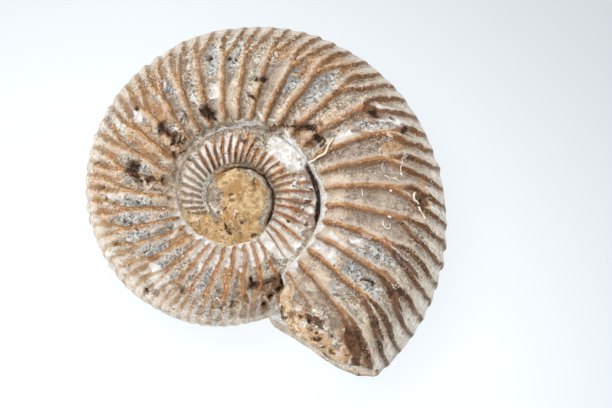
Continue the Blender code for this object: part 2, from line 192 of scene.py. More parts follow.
def last_whorl_ribs(growth, place, points):
    """Ribs as a lopsided wave: a steep rise facing the aperture and a long dished fall behind it.

    The wave is the mean of a cosine and (1 - phase)^1.7, and forks by two waves sliding apart.
    Gives the height in mm, the hollow in front of a fork, and for the brown lines the count of ribs
    back from the aperture, how far a fork's two crests have parted, and the ribs' spacing in mm.
    """
    edge = np.abs(place)
    wander = 0.3 * noise(points, 5.0, 3) + 0.3 * noise(points, 1.5, 4, octaves=2)
    turn = np.interp(growth - rib_lean(growth, place) + wander, MAIN_RIBS,
                     np.arange(len(MAIN_RIBS)), left=-0.4, right=len(MAIN_RIBS) - 0.85)
    distance = turn - np.round(turn)
    shift = 0.05 * noise(points * np.array([1, 1, 0]), 4.0, 5)
    forked = ramp(FORK_START + shift, FORK_END + shift, edge)
    outer = ramp(0.56, 0.34, edge)
    spacing = np.radians(10.2) * np.interp(edge, PLACE, OUT) * radius(growth)
    length = 1 - 0.5 * forked
    steep_share = STEEP_SHARE + 0.1 * outer
    wave, lip = 0.0, 0.0
    for side in (-1, 1):
        away = distance - 0.25 * side * forked
        behind = away % 1
        phase = np.minimum(1, np.where(behind < 1 - steep_share * length,
                                       behind / (1 - steep_share) / length,
                                       (1 - behind) / steep_share / length))
        cosine = 0.5 + 0.5 * np.cos(np.pi * phase)
        bent = cosine * (0.5 + 0.4 * outer) + (1 - phase) ** 1.7 * (0.5 - 0.4 * outer)
        wave = np.maximum(wave, bent)
        lip = np.maximum(lip, bell((away - np.round(away)) * spacing / LIP_WIDTH))
    outer_height, wear = aged(growth, FORKED_RIB_HEIGHTS, RIM_WEAR)
    height = MAIN_RIB_HEIGHT + (outer_height - MAIN_RIB_HEIGHT) * forked
    wear += 0.3 * noise(points, 3.5, 8)
    height = height * (1 - np.clip(wear, 0, 1) * ramp(0.3, 0.1, edge))
    strength = 1 + 0.3 * noise(points, 6.0, 6)
    relief = (wave - 0.38) * height * strength * radius(growth)
    relief += lip * CREST_LIP * (1 - outer) * (1 + noise(points, 1.2, 7))
    broken_at = 0.48 + 0.16 * ramp(4.5, 3.0, growth)
    broken = ramp(*BROKEN_FORK, growth) * ramp(broken_at + 0.04, broken_at - 0.04, edge) * (place > 0)
    fade = ramp(0.96, 0.87, edge) * (1 - 0.9 * broken)
    hollow = bell((distance + 0.13) / 0.1) * bell((edge - 0.37) / 0.12) * ramp(75, 15, growth)
    lines = {"ribs": turn, "fork": 0.25 * forked, "spacing": spacing, "hidden": 1 - fade}
    return relief * fade - FORK_HOLLOW * hollow, hollow, lines


# ---- Inner whorl: fine ribs in the middle, and the rock that covers its start -----------------------
# One turn further in the ribs are finer and do not fork where they show. The last third of the turn
# is hidden under rough yellow-brown rock, which also plugs the centre as a low dome on both faces.

INNER_RIBS = [369, 377, 387, 397, 406, 414, 424, 432, 440, 448, 456, 465, 473, 481, 490, 498, 506,
              514, 523, 532, 541, 551, 560, 569, 579, 588, 598, 608, 616, 626]
INNER_RIB_HEIGHT = 0.042        # in shares of the outer radius
INNER_LEAN = 14.0
LEAN_SPAN = (362, 376, 622, 645)        # growth angles: where it starts, is full, fades and ends
COVERED_SPAN = (436, 448, 482, 494)     # where chalk covers the ribs' outer ends
BARS_START = 480.0              # past it the ribs are pale bars between dark brown gaps
ROCK_START, ROCK_SLANT = 614.0, 45.0    # at the seam, and how much later further in
PLUG_CENTRE = (0.65, -0.7)
UPPER_PLUG_HEIGHT, LOWER_PLUG_HEIGHT = 3.15, 2.6
PLUG_FLATNESS = 2.6
PLUG_RIM_START = 590.0


def inner_lean(growth, place):
    """Swing of an inner rib: 14 degrees of growth angle over the outline, away from the aperture."""
    return INNER_LEAN * (place - 0.7) * between(*LEAN_SPAN, growth)


def inner_whorl_ribs(growth, place, points):
    """Brown crests exp(-(distance/width)^1.5), that turn to brown gaps, and then to lumpy rock.

    Gives the height in mm, how far the place is in the rock, and what the brown lines need.
    """
    wander = 0.7 * noise(points, 1.8, 13, octaves=2)
    turn = np.interp(growth - inner_lean(growth, place) + wander, INNER_RIBS,
                     np.arange(len(INNER_RIBS)), left=-0.5)
    away = np.abs(turn - np.round(turn))
    bars = ramp(BARS_START - 8, BARS_START + 8, growth)
    crest = np.exp(-(away / 0.17) ** 1.5) - 0.3
    bar = 0.45 - 0.9 * bell(away / 0.2)
    start = COVER + 0.02 + 0.16 * between(*COVERED_SPAN, growth)
    end = 1.0 - 0.05 * ramp(552, 575, growth)
    shown = between(start, start + 0.1, end - 0.08, end, place)
    rock_edge = ROCK_START + ROCK_SLANT * (place - COVER)
    in_rock = ramp(-3, 3, growth - rock_edge + 4 * noise(points, 1.2, 14, octaves=2))
    strength = (1 + 0.35 * noise(points, 1.5, 15)) * (1 - 0.35 * ramp(548, 566, growth))
    ribs = (crest * (1 - bars) + bar * bars) * INNER_RIB_HEIGHT * strength * radius(growth)
    rock = 0.22 * noise(points, 1.4, 16, octaves=3) - 0.12
    taper = 1 + 0.9 * ramp(0.74, COVER + 0.04, place) + 0.5 * ramp(0.8, 0.98, place)
    lines = {"ribs": len(MAIN_RIBS) + turn, "fork": 0.0, "hidden": np.maximum(1 - shown, in_rock),
             "spacing": np.radians(8.5) * 0.65 * radius(growth) * taper}
    return (ribs * (1 - in_rock) + rock * in_rock) * shown, in_rock, lines


# ---- Damage and deposits ----------------------------------------------------------------------------
# Time in the sea bed and in the ground has left bored pits, cracks and chipped shell. Chalk and clay
# lie in the seams, and grey-blue marl with black grains where the shell flaked off.

# Pits: growth angle, place, half length along the whorl and half width across it in mm, depth in mm,
# and how dark the pit is
PITS = [
    (1, 0.605, 0.4, 0.35, 0.6, 1), (-0.8, 0.572, 0.28, 0.25, 0.45, 0.9),
    (-0.4, 0.545, 0.22, 0.25, 0.4, 0.9), (0.3, 0.45, 0.25, 0.25, 0.4, 0.8),
    (1.9, 0.412, 0.3, 0.35, 0.45, 0.9), (35, 0.44, 0.3, 0.3, 0.2, 0.8),
    (3.3, 0.49, 0.28, 0.28, 0.3, 0.6), (26.2, 0.575, 0.26, 0.24, 0.15, 0.7),
    (8.2, 0.36, 1.1, 2.2, 0.7, 0.3), (6, 0.26, 0.9, 1.8, 0.55, 0.25),
    (56.5, 0.33, 0.75, 0.5, 0.55, 0.9), (194, 0.77, 3.2, 2, 0.12, 0.25),
    (90, 0.43, 0.85, 0.6, 0.5, 0.8), (85, 0.36, 0.3, 0.3, 0.35, 0.9),
    (80.5, 0.32, 0.45, 0.45, 0.4, 0.9), (103, 0.52, 0.55, 0.45, 0.2, 0.5),
    (86, 0.78, 0.5, 0.35, 0.35, 0.45), (91, 0.85, 0.6, 0.35, 0.4, 0.5),
    (98.5, 0.79, 0.75, 0.5, 0.8, 0.9), (97.5, 0.72, 0.5, 0.4, 0.4, 0.6),
    (134, 0.7, 0.28, 0.28, 0.3, 0.7), (135.5, 0.635, 0.65, 0.35, 0.4, 0.9),
    (149, 0.48, 0.35, 0.28, 0.2, 0.7), (151.8, 0.46, 0.35, 0.28, 0.2, 0.8),
    (159.8, 0.445, 0.45, 0.5, 0.2, 0.8), (120.5, 0.5, 0.35, 0.55, 0.2, 0.6),
    (166, 0.84, 0.75, 0.6, 0.8, 1), (168.5, 0.79, 0.6, 0.7, 0.75, 1),
    (182.5, 0.76, 0.28, 0.9, 0.25, 0.8), (195.5, 0.85, 0.75, 0.25, 0.4, 0.9),
    (196.5, 0.8, 0.65, 0.28, 0.5, 1), (197.5, 0.74, 0.5, 0.45, 0.55, 1),
    (199.3, 0.69, 0.6, 0.55, 0.85, 1), (196, 0.67, 0.5, 0.3, 0.45, 0.9),
    (197.5, 0.45, 0.3, 0.3, 0.3, 0.9), (207, 0.89, 0.35, 0.35, 0.3, 0.8),
    (229, 0.85, 0.6, 0.3, 0.35, 0.8), (231, 0.725, 0.6, 0.5, 0.85, 1),
    (226, 0.6, 1.1, 0.85, 0.5, 1), (229.5, 0.62, 1.3, 0.7, 0.4, 0.8),
    (228.5, 0.55, 0.8, 0.4, 0.3, 0.7), (226.5, 0.26, 0.4, 0.35, 0.25, 0.7),
    (236.5, 0.33, 0.35, 0.35, 0.3, 0.7), (243, 0.38, 0.45, 0.35, 0.4, 0.8),
    (262.5, 0.32, 0.35, 0.35, 0.3, 0.7), (287, 0.21, 0.4, 0.55, 0.45, 0.8),
    (303, 0.4, 0.35, 0.35, 0.25, 0.6), (324, 0.3, 0.6, 0.5, 0.3, 0.5),
    (329, 0.31, 0.3, 0.4, 0.3, 0.7), (342.5, 0.455, 0.9, 0.45, 0.6, 0.8),
    (350.3, 0.31, 0.4, 0.35, 0.8, 1), (357, 0.33, 0.6, 0.45, 1.1, 0.9),
    (346, 0.2, 0.45, 0.75, 0.8, 0.9), (353, 0.42, 0.9, 0.6, 0.5, 0.7),
    (337, 0.36, 0.5, 0.4, 0.35, 0.6), (360, 0.42, 0.6, 0.6, 0.8, 1), (40, -0.55, 1.3, 1, 0.45, 0.7),
    (96, -0.7, 1.1, 0.7, 0.6, 0.9), (152, -0.45, 1.2, 0.9, 0.4, 0.7),
    (205, -0.74, 1.2, 0.9, 0.7, 1), (247, -0.5, 0.9, 0.8, 0.45, 0.8),
    (318, -0.62, 1.2, 0.9, 0.5, 0.9), (350, -0.35, 1.1, 0.9, 0.6, 0.8),
    (18, -0.7, 0.5, 1.2, 0.35, 0.9), (280, -0.3, 0.6, 0.5, 0.4, 0.8),
    (125, -0.25, 0.5, 0.7, 0.35, 0.8),
]

# Cracks: the growth angle and place of both ends, and half width and depth in mm
CRACKS = [
    (23.4, 0.572, 25.4, 0.492, 0.1, 0.35), (101, 0.795, 110.5, 0.875, 0.22, 0.6),
    (110.5, 0.875, 116, 0.915, 0.14, 0.4), (134.5, 0.775, 140.5, 0.745, 0.15, 0.45),
    (341, 0.55, 342.5, 0.47, 0.16, 0.45), (162, 0.885, 172, 0.765, 0.2, 0.4),
    (88, 0.8, 97, 0.78, 0.16, 0.35), (200, 0.96, 203, 0.93, 0.2, 0.4),
    (60, -0.6, 74, -0.85, 0.16, 0.4), (222, -0.3, 236, -0.62, 0.18, 0.4),
]

# Oval patches of each deposit: growth angle, place, half length in degrees, half width in places
OVALS = {
    "blue_grey": [
        (25, 0.56, 6, 0.14), (36, 0.52, 4.5, 0.14), (87, 0.44, 6, 0.12), (110.5, 0.57, 4.5, 0.14),
        (122, 0.55, 4, 0.14), (152, 0.48, 4.5, 0.08), (160, 0.47, 3.5, 0.1), (183, 0.6, 6, 0.22),
        (207, 0.6, 4, 0.12), (228, 0.58, 7, 0.12), (248, 0.6, 9, 0.14), (263, 0.66, 5, 0.26),
        (274, 0.56, 5, 0.28), (286, 0.54, 6, 0.14), (290, 0.36, 5, 0.14), (315, 0.5, 8, 0.2),
        (330, 0.28, 14, 0.14), (208, 0.2, 5, 0.1), (14, 0.72, 4, 0.1)],
    "chalk": [
        (7, 0.94, 6.5, 0.07), (27, 0.83, 4.5, 0.1), (36, 0.68, 4, 0.07), (36, 0.94, 4, 0.04),
        (84.5, 0.66, 3, 0.06), (88, 0.36, 5, 0.1), (56, 0.24, 6, 0.06), (126, 0.885, 3.5, 0.02),
        (161, 0.7, 3, 0.05), (209, 0.385, 3.5, 0.05), (-1.5, 0.78, 1.5, 0.05),
        (8.8, 0.445, 0.8, 0.025), (202, 0.52, 4, 0.06), (242, 0.42, 4, 0.05), (297, 0.8, 7, 0.18),
        (306, 0.74, 4, 0.12), (328, 0.82, 8, 0.14), (312, 0.92, 6, 0.08), (287, 0.4, 5, 0.08),
        (338, 0.66, 2, 0.06), (94, 0.95, 10, 0.05), (172, 0.68, 2, 0.05), (154, 0.4, 5, 0.03),
        (352, 0.82, 6, 0.16), (265, 0.9, 6, 0.1), (276, 0.88, 3, 0.12), (182, 0.41, 2, 0.03),
        (110, 0.9, 6, 0.03), (45, 0.98, 52, 0.05), (98, 0.96, 11, 0.07), (160, 0.97, 36, 0.03),
        (322, 0.9, 26, 0.14), (318, 0.79, 26, 0.12), (296, 0.95, 40, 0.09), (348, 0.96, 16, 0.07)],
    "cream": [
        (238, 0.82, 5, 0.2), (247, 0.85, 5, 0.1), (152, 0.74, 3.5, 0.11), (121, 0.83, 5, 0.07),
        (96, 0.66, 10, 0.14), (280, 0.95, 60, 0.07), (213, 0.9, 6, 0.08), (70, 0.88, 8, 0.05),
        (258, 0.8, 4, 0.12), (302, 0.88, 12, 0.1), (16, 0.4, 4, 0.14), (340, 0.9, 18, 0.08),
        (36, 0.9, 14, 0.04), (22, 0.84, 26, 0.11), (56, 0.86, 18, 0.1), (228, 0.97, 30, 0.07),
        (285, 0.94, 50, 0.1)],
    "clay": [
        (140, 0.9, 22, 0.08), (172, 0.86, 14, 0.08), (193, 0.76, 7, 0.16), (200, 0.88, 14, 0.06),
        (225, 0.9, 8, 0.08), (133, 0.74, 6, 0.14), (345, 0.42, 14, 0.14), (356, 0.3, 10, 0.16),
        (104, 0.8, 8, 0.06), (126, 0.94, 14, 0.07), (112, 0.88, 6, 0.04), (344, 0.2, 12, 0.12),
        (5, 0.52, 5, 0.05), (325, 0.46, 12, 0.08), (8.2, 0.66, 3, 0.14), (272, 0.4, 12, 0.08),
        (184, 0.6, 8, 0.08), (122, 0.95, 9, 0.07)],
    "rust": [
        (89, 0.45, 5, 0.07), (57, 0.33, 6, 0.09), (7.5, 0.33, 4, 0.16), (3.6, 0.81, 1.6, 0.06),
        (94, 0.68, 3, 0.12), (75, 0.42, 4, 0.06), (192, 0.68, 5, 0.14), (210, 0.68, 7, 0.2),
        (118, 0.45, 5, 0.1), (228, 0.4, 12, 0.1), (200, 0.84, 8, 0.08), (334, 0.61, 12, 0.16),
        (282, 0.8, 7, 0.14), (99, 0.82, 8, 0.05), (225, 0.8, 7, 0.1), (240, 0.3, 16, 0.1),
        (112, 0.36, 10, 0.08), (3, 0.82, 3, 0.07), (342, 0.42, 4, 0.05), (130, 0.36, 8, 0.06),
        (185, 0.36, 10, 0.06)],
    "pink": [
        (52, 0.66, 30, 0.24), (7.5, 0.66, 4, 0.22), (130, 0.6, 8, 0.2), (195, 0.6, 12, 0.2),
        (62, 0.4, 10, 0.12), (160, 0.8, 4, 0.08)],
}
UMBER = [
    (7.6, 0.36, 2.3, 0.1), (5.4, 0.26, 1.6, 0.06), (9.6, 0.42, 1, 0.05), (355.5, 0.37, 4, 0.09),
    (350, 0.31, 2.5, 0.05), (344, 0.47, 3, 0.05), (2.2, 0.575, 1.2, 0.05), (0.6, 0.63, 1.2, 0.03),
    (56.5, 0.33, 2.5, 0.05), (194.5, 0.79, 3, 0.035), (198.5, 0.71, 2.6, 0.03),
    (192, 0.88, 3, 0.02), (166, 0.82, 1.6, 0.04), (104, 0.82, 4, 0.04), (91, 0.44, 3, 0.04),
    (119, 0.94, 4, 0.03), (427, 0.5, 16, 0.04), (231, 0.74, 3, 0.05), (27, 0.36, 2, 0.03),
]


def crumpled(growth, place, points, size, amount, octaves=3):
    """The same places pushed about by noises of one size in mm, by up to an amount in mm."""
    scale = np.interp(np.abs(place), PLACE, OUT) * radius(growth)
    along, across = (amount * noise(points, size, seed, octaves=octaves) for seed in (25, 26))
    return growth + np.degrees(along / scale), place + across / (OUTLINE_LENGTH * radius(growth))


def patches(growth, place, ovals):
    """1 inside any of the ovals and 0 outside, falling off over the outer third of each."""
    inside = np.zeros(growth.shape)
    for at_growth, at_place, length, width in ovals:
        away = np.hypot((growth - at_growth) / length, (place - at_place) / width)
        inside = np.maximum(inside, ramp(1.35, 0.65, away))
    return inside


def dish(along, across):
    """A pit's round hollow, exp(-distance^2.6): 1 in the middle, and near 0 past its edge."""
    return np.exp(-np.hypot(along, across) ** 2.6)


def pits_and_cracks(growth, place, points):
    """Pits as dishes and cracks as V grooves: the depth in mm and the darkness."""
    depth, dark = np.zeros(growth.shape), np.zeros(growth.shape)
    growth, place = crumpled(growth, place, points, 1.2, 0.35, octaves=1)
    out = np.interp(np.abs(place), PLACE, OUT)
    for at_growth, at_place, length, width, deep, darkness in PITS:
        scale = radius(at_growth)
        pit = dish(np.radians(growth - at_growth) * out * scale / length,
                   (place - at_place) * OUTLINE_LENGTH * scale / width)
        depth, dark = np.maximum(depth, deep * pit), np.maximum(dark, darkness * pit)
    for at_growth, at_place, end_growth, end_place, width, deep in CRACKS:
        to_mm = radius(at_growth) * np.array([np.radians(1) * 0.65, OUTLINE_LENGTH])
        line = np.array([end_growth - at_growth, end_place - at_place]) * to_mm
        reach = np.stack([growth - at_growth, place - at_place], -1) * to_mm
        share = np.clip(reach @ line / (line @ line), 0, 1)
        away = np.linalg.norm(reach - share[..., None] * line, axis=-1)
        groove = np.clip(1.3 - away / width, 0, 1)
        depth, dark = np.maximum(depth, deep * groove), np.maximum(dark, groove)
    return depth, dark


# ---- The fossil's surface ---------------------------------------------------------------------------
# One skin over the whole stone: the last whorl, the inner whorl on both faces, the two plugs and the
# broken aperture. Grids that meet share their edge vertices, so the skin is closed.

# The broken edge: places round the outline, and the growth angle of the edge at each
APERTURE_PLACES = [1, 0.975, 0.95, 0.925, 0.905, 0.89, 0.87, 0.845, 0.815, 0.79, 0.73, 0.6, 0.5,
                   0.4, 0.3, 0.2, 0.1, 0, -0.2, -0.4, -0.6, -0.7, -0.8, -1]
APERTURE_ANGLES = [2.2, 4.2, 3.4, 1.8, 1.3, 2.6, -0.6, 0.6, 0.2, -1.6, -2.6, -3, -1.5, 1, 3.5, 6.5,
                   9.5, 10.5, 8, 3.2, -2.5, -7, -13.5, -16]
APERTURE_FADE = 34.0            # degrees of growth in which the columns lose the edge's shape
APERTURE_HOLLOW = 1.3           # of the broken face, in mm, under the bulge of rock at its upper edge
ROCK_BULGE = 1.5                # of that rock, in mm
SEAM_LIP, CENTRE_LIP = 0.26, 0.3        # heights in mm of the raised edges of lime along the seams
SEAM_FILL = 0.38                # height in mm of the chalk and clay in the inner whorl's seam
CREVICE = 0.85                  # depth in mm of the open gap along it
# Growth angles where each starts, is full, fades and ends
LIP_SPAN, DIRTY_SPAN = (150, 185, 298, 318), (388, 400, 438, 450)
CREVICE_SPAN, FILL_SPAN = (396, 404, 441, 446), (443, 450, 500, 570)

UPPER_WALL, UPPER_VENTER, LOWER_VENTER, LOWER_WALL = 40, 26, 14, 20
PLUG_COLUMN_STEP = 4            # the centre's rock has one column for this many of the whorl's
places = np.concatenate([
    np.linspace(1, COVER, UPPER_WALL + 1), np.linspace(COVER, 0, UPPER_VENTER + 1)[1:],
    np.linspace(0, -COVER, LOWER_VENTER + 1)[1:], np.linspace(-COVER, -1, LOWER_WALL + 1)[1:]])
quarters = np.arange(0, len(MAIN_RIBS) - 1 + 0.001, 1 / COLUMNS_PER_RIB)
columns = np.interp(quarters, np.arange(len(MAIN_RIBS)), MAIN_RIBS)
columns = np.concatenate([np.linspace(0, MAIN_RIBS[0], 7)[:-1], columns, [359.3, 360.0]])

skin_points, skin_faces, skin_masks = [], [], []
MASKS = ["hidden", "ribs", "fork", "spacing", "dark", "blue_grey", "chalk", "cream", "clay", "rust",
         "pink", "rock", "bleached", "umber"]


def add_points(points, **masks):
    """Store a grid of points with their masks, and give the grid of their indices."""
    start = sum(len(block) for block in skin_points)
    flat = points.reshape(-1, 3)
    skin_points.append(flat)
    values = np.zeros((len(flat), len(MASKS)))
    values[:, 0] = 1.0
    for name, mask in masks.items():
        values[:, MASKS.index(name)] = np.broadcast_to(mask, points.shape[:-1]).ravel()
    skin_masks.append(values)
    return np.arange(start, start + len(flat)).reshape(points.shape[:-1])


def add_faces(faces):
    """Store triangles, and leave out those with a repeated corner."""
    faces = faces.reshape(-1, 3)
    skin_faces.append(faces[(faces != np.roll(faces, 1, axis=1)).all(axis=1)])


def add_grid(index):
    """Cover a grid of indices with two triangles to each cell."""
    a, b, c, d = index[:-1, :-1], index[1:, :-1], index[1:, 1:], index[:-1, 1:]
    add_faces(np.concatenate([np.stack([a, b, c], -1), np.stack([a, c, d], -1)]))


def lay(masks, **levels):
    """Raise each named mask to at least this level."""
    for name, level in levels.items():
        masks[name] = np.maximum(masks[name], level)


def deposits(growth, place, points):
    """The deposit masks: named ovals on the upper face, and the same ones shuffled on the lower."""
    growth, place = crumpled(growth, place, points, 2.6, 1.5)
    upper = ramp(-0.05, 0.05, place)
    masks = {}
    for number, (name, spots) in enumerate(OVALS.items()):
        below = patches((growth + 140 + 23 * number) % 360, -place, spots)
        masks[name] = patches(growth, place, spots) * upper + below * (1 - upper)
    return masks


def last_whorl():
    """The last whorl: its columns follow the ribs' lean and the broken edge of the aperture."""
    growth, place = np.meshgrid(columns, places, indexing="ij")
    edge_shift = np.interp(-place, [-p for p in APERTURE_PLACES], APERTURE_ANGLES)
    growth = growth + edge_shift * ramp(APERTURE_FADE, 0, growth)
    lower_end = APERTURE_ANGLES[-1] * ramp(0.1, -COVER, place)
    growth = growth + lower_end * ramp(348, 360, growth)
    growth = growth + rib_lean(growth, place) * ramp(0, 40, columns)[:, None]
    bare = coil_point(growth, place)
    relief, fork_hollow, lines = last_whorl_ribs(growth, place, bare)
    masks = deposits(growth, place, bare)
    depth, dark = pits_and_cracks(growth, place, bare)
    lip = bell((place - 0.985) / 0.024) * between(*LIP_SPAN, growth)
    crusty = np.maximum(masks["chalk"], np.maximum(masks["clay"], masks["rust"]))
    rough = 0.06 * noise(bare, 1.2, 41, octaves=2) + 0.06 * noise(bare, 3.2, 42)
    rough += (0.03 + 0.06 * crusty) * noise(bare, 0.65, 44)
    flaked = 0.12 * ramp(0.4, 0.6, masks["blue_grey"]) + 0.05 * masks["clay"]
    crust = 0.09 * ramp(0.4, 0.6, masks["chalk"])
    broken = 0.3 * ramp(330, 352, growth) * between(0.05, 0.2, 0.7, 0.9, place)
    broken *= noise(bare, 1.3, 43, octaves=3)
    mouth = ramp(4.0, 1.5, columns[:, None] + 1.6 * noise(bare, 1.6, 46, octaves=2))
    mouth *= between(0.16, 0.34, 0.7, 0.8, place)
    grit = noise(bare, 0.9, 45, octaves=3)
    at_seam = ramp(1.0, 0.97, np.abs(place))
    relief += (rough + crust - flaked - depth + broken + 0.3 * mouth * grit) * at_seam + SEAM_LIP * lip
    points = bare + coil_normal(growth, place) * relief[..., None]
    # Painted shade: the hollows in front of the forks are darkened.
    dark = np.maximum(dark, np.maximum(0.5 * fork_hollow, 0.8 * mouth * ramp(-0.15, -0.6, grit)))
    dark *= 1 - 0.6 * lip
    for name in ("chalk", "clay", "rust"):
        masks[name] *= 1 - 0.8 * lip
    # The venter is pale: partly its worn, paler shell, partly painted light, the glow of the bright
    # table and room on the rim.
    masks["bleached"] = ramp(0.38, 0.14, np.abs(place)) * (0.82 + 0.18 * ramp(40, 160, growth))
    masks["umber"] = patches(*crumpled(growth, place, bare, 1.0, 0.35), UMBER)
    # Painted shade: the fork hollows also get rust and umber brown; the lip is cream.
    lay(masks, cream=1.6 * lip, rust=0.8 * fork_hollow, umber=1.5 * fork_hollow)
    # The lower venter next to the aperture is cream: partly its own pale stone, partly painted light
    # for the table's glow on that low face.
    lay(masks, cream=1.5 * ramp(30, 12, growth) * ramp(0.1, -0.02, place))
    lay(masks, cream=0.7 * mouth, rust=0.9 * mouth, chalk=0.6 * mouth * ramp(0.1, 0.5, grit))
    index = add_points(points, dark=dark, **lines, **masks)
    index[0, 0] = index[-1, UPPER_WALL]
    index[0, -1] = index[-1, -1 - LOWER_WALL]
    add_grid(index)
    return index


# The same for the inner whorl
INNER_OVALS = {
    "chalk": [
        (452, 0.57, 18, 0.15), (392, 0.66, 14, 0.14), (382, 0.6, 8, 0.1), (404, 0.58, 8, 0.1),
        (417, 0.62, 9, 0.16), (430, 0.62, 12, 0.2), (462, 0.76, 12, 0.1), (512, 0.68, 16, 0.12),
        (542, 0.66, 14, 0.14), (520, 0.86, 10, 0.06), (372, 0.7, 12, 0.2), (376, 0.9, 16, 0.12),
        (588, 0.9, 46, 0.13), (402, 0.86, 16, 0.08), (398, 0.57, 3, 0.05), (407, 0.67, 2.5, 0.05),
        (413, 0.56, 3, 0.05), (424, 0.7, 3, 0.04), (434, 0.56, 3, 0.05), (578, 0.8, 40, 0.24)],
    "clay": [
        (495, 0.92, 24, 0.1), (405, 0.84, 9, 0.1), (450, 0.93, 26, 0.07), (406, 0.5, 30, 0.05),
        (532, 0.49, 26, 0.04), (372, 0.76, 7, 0.16), (470, 0.94, 16, 0.06), (545, 0.5, 5, 0.05),
        (566, 0.5, 5, 0.06), (590, 0.55, 12, 0.06), (573, 0.53, 9, 0.05), (466, 0.75, 9, 0.06),
        (470, 0.88, 10, 0.05), (425, 0.92, 16, 0.05), (604, 0.54, 8, 0.06)],
    "cream": [
        (412, 0.88, 34, 0.12), (585, 0.78, 34, 0.26), (560, 0.52, 16, 0.05), (660, 0.5, 60, 0.06),
        (400, 0.72, 10, 0.14), (620, 0.93, 40, 0.06), (540, 0.96, 30, 0.05), (440, 0.96, 20, 0.05)],
    "rust": [
        (412, 0.74, 12, 0.1), (385, 0.74, 7, 0.07), (452, 0.78, 16, 0.05), (494, 0.66, 6, 0.12),
        (610, 0.94, 8, 0.05), (404, 0.6, 3, 0.05), (419, 0.63, 3, 0.06), (396, 0.68, 3, 0.05)],
    "umber": [
        (401, 0.52, 5, 0.03), (411, 0.61, 1.5, 0.04), (390, 0.76, 2, 0.04), (422, 0.56, 2, 0.03),
        (430, 0.75, 2, 0.03), (501, 0.62, 2, 0.03), (560, 0.56, 3, 0.03)],
    "blue_grey": [
        (388, 0.56, 5, 0.06), (596, 0.6, 8, 0.1), (436, 0.55, 5, 0.05)],
}


def inner_whorl(last, side):
    """The inner whorl on one face, from the last whorl's seam to the rim of the centre's rock."""
    wall = UPPER_WALL if side > 0 else LOWER_WALL
    share = np.linspace(0, 1, wall + 1)
    growth = np.repeat(360 + columns[:, None], wall + 1, axis=1)
    spread = np.clip((growth[:, -1] - PLUG_RIM_START) / (720 - PLUG_RIM_START), 0, 1)
    seam_place = 1 - (1 - COVER) * spread ** 1.5
    place = COVER + share * (seam_place[:, None] - COVER)
    growth = growth + inner_lean(growth, place)
    if side < 0:
        fade = ramp(360 + APERTURE_FADE, 360, growth)
        growth = growth + APERTURE_ANGLES[-1] * fade * (1 - share)
    bare = coil_point(growth, place * side)
    relief, in_rock, lines = inner_whorl_ribs(growth, place, bare)
    moved_growth, moved_place = crumpled(growth, place, bare, 1.2, 0.7)
    masks = {name: patches(moved_growth, moved_place, spots) * (1 - in_rock * (name != "cream"))
             for name, spots in INNER_OVALS.items()}
    upper = side > 0
    from_seam = place - COVER
    crevice = between(*CREVICE_SPAN, growth) * upper
    crevice *= ramp(0.07, 0.035, 0.3 * moved_place + 0.7 * place - COVER)
    under = between(380, 404, 441, 446, growth) * upper * ramp(0.17, 0.06, moved_place - COVER)
    fill_edge = 0.1 + 0.12 * ramp(492, 470, growth)
    fill = between(*FILL_SPAN, growth)
    fill *= ramp(fill_edge + 0.08, fill_edge - 0.04, moved_place - COVER)
    ridge = ramp(0.05, 0, from_seam) * ramp(515, 545, growth) * upper
    dirty = between(*DIRTY_SPAN, growth) * ramp(0.86, 0.62, place)
    crumbled = 0.8 * dirty * ramp(0.24, 0.42, noise(bare, 0.9, 53, octaves=2)) * upper
    relief = relief * (1 - fill) + SEAM_FILL * fill * ramp(0, 0.03, from_seam)
    relief += CENTRE_LIP * ridge * ramp(678, 658, growth)
    relief += 0.05 * noise(bare, 0.8, 52, octaves=2) * ramp(0, 0.02, from_seam)
    relief -= CREVICE * crevice * ramp(0, 0.015, from_seam)
    relief = relief * (1 - 0.7 * crumbled) + 0.2 * crumbled * noise(bare, 0.6, 54, octaves=2)
    masks["chalk"] *= 1 - 0.8 * ridge
    lay(masks, cream=1.3 * ridge, rust=0.5 * dirty, clay=np.maximum(under, 0.3 * dirty))
    lay(masks, clay=0.7 * fill * ramp(468, 484, moved_growth),
        chalk=0.8 * fill * ramp(484, 470, moved_growth))
    lay(lines, hidden=crumbled)
    points = bare + coil_normal(growth, place * side) * relief[..., None]
    # The crevice is painted dark for the shadow in its open gap; beside the seam and on the dirty
    # stretch the stone is darker too.
    dark = np.maximum(crevice, np.maximum(0.35 * under, 0.3 * dirty))
    index = add_points(points, dark=dark, rock=in_rock, **lines, **masks)
    index[:, 0] = last[:, 0] if upper else last[:, -1]
    index[0, :] = last[-1, wall::-1] if upper else last[-1, -1 - wall:]
    index[-1, :] = index[0, 0]
    add_grid(index[:, ::-1] if upper else index)
    return index[:-1, -1]


# On the centre's rock, in mm from the coil's centre: x, y, half length, half width, its turn in
# degrees, depth in mm, and how dark it is
PLUG_PITS = [
    (-0.3, 0.2, 0.32, 0.26, 0, 0.2, 0.8), (-0.2, -0.5, 0.24, 0.22, 0, 0.15, 0.7),
    (-0.8, -1.7, 0.8, 0.3, 80, 0.22, 0.55), (1, -3.05, 0.32, 0.25, 90, 0.2, 0.65),
    (-0.9, -3.55, 0.55, 0.14, -70, 0.4, 0.95), (-0.45, -4.2, 0.4, 0.14, -30, 0.35, 0.9),
    (2, -4.85, 0.9, 0.13, 25, 0.3, 0.7), (2.45, 1.35, 1.25, 0.2, -66, 0.25, 0.6),
]


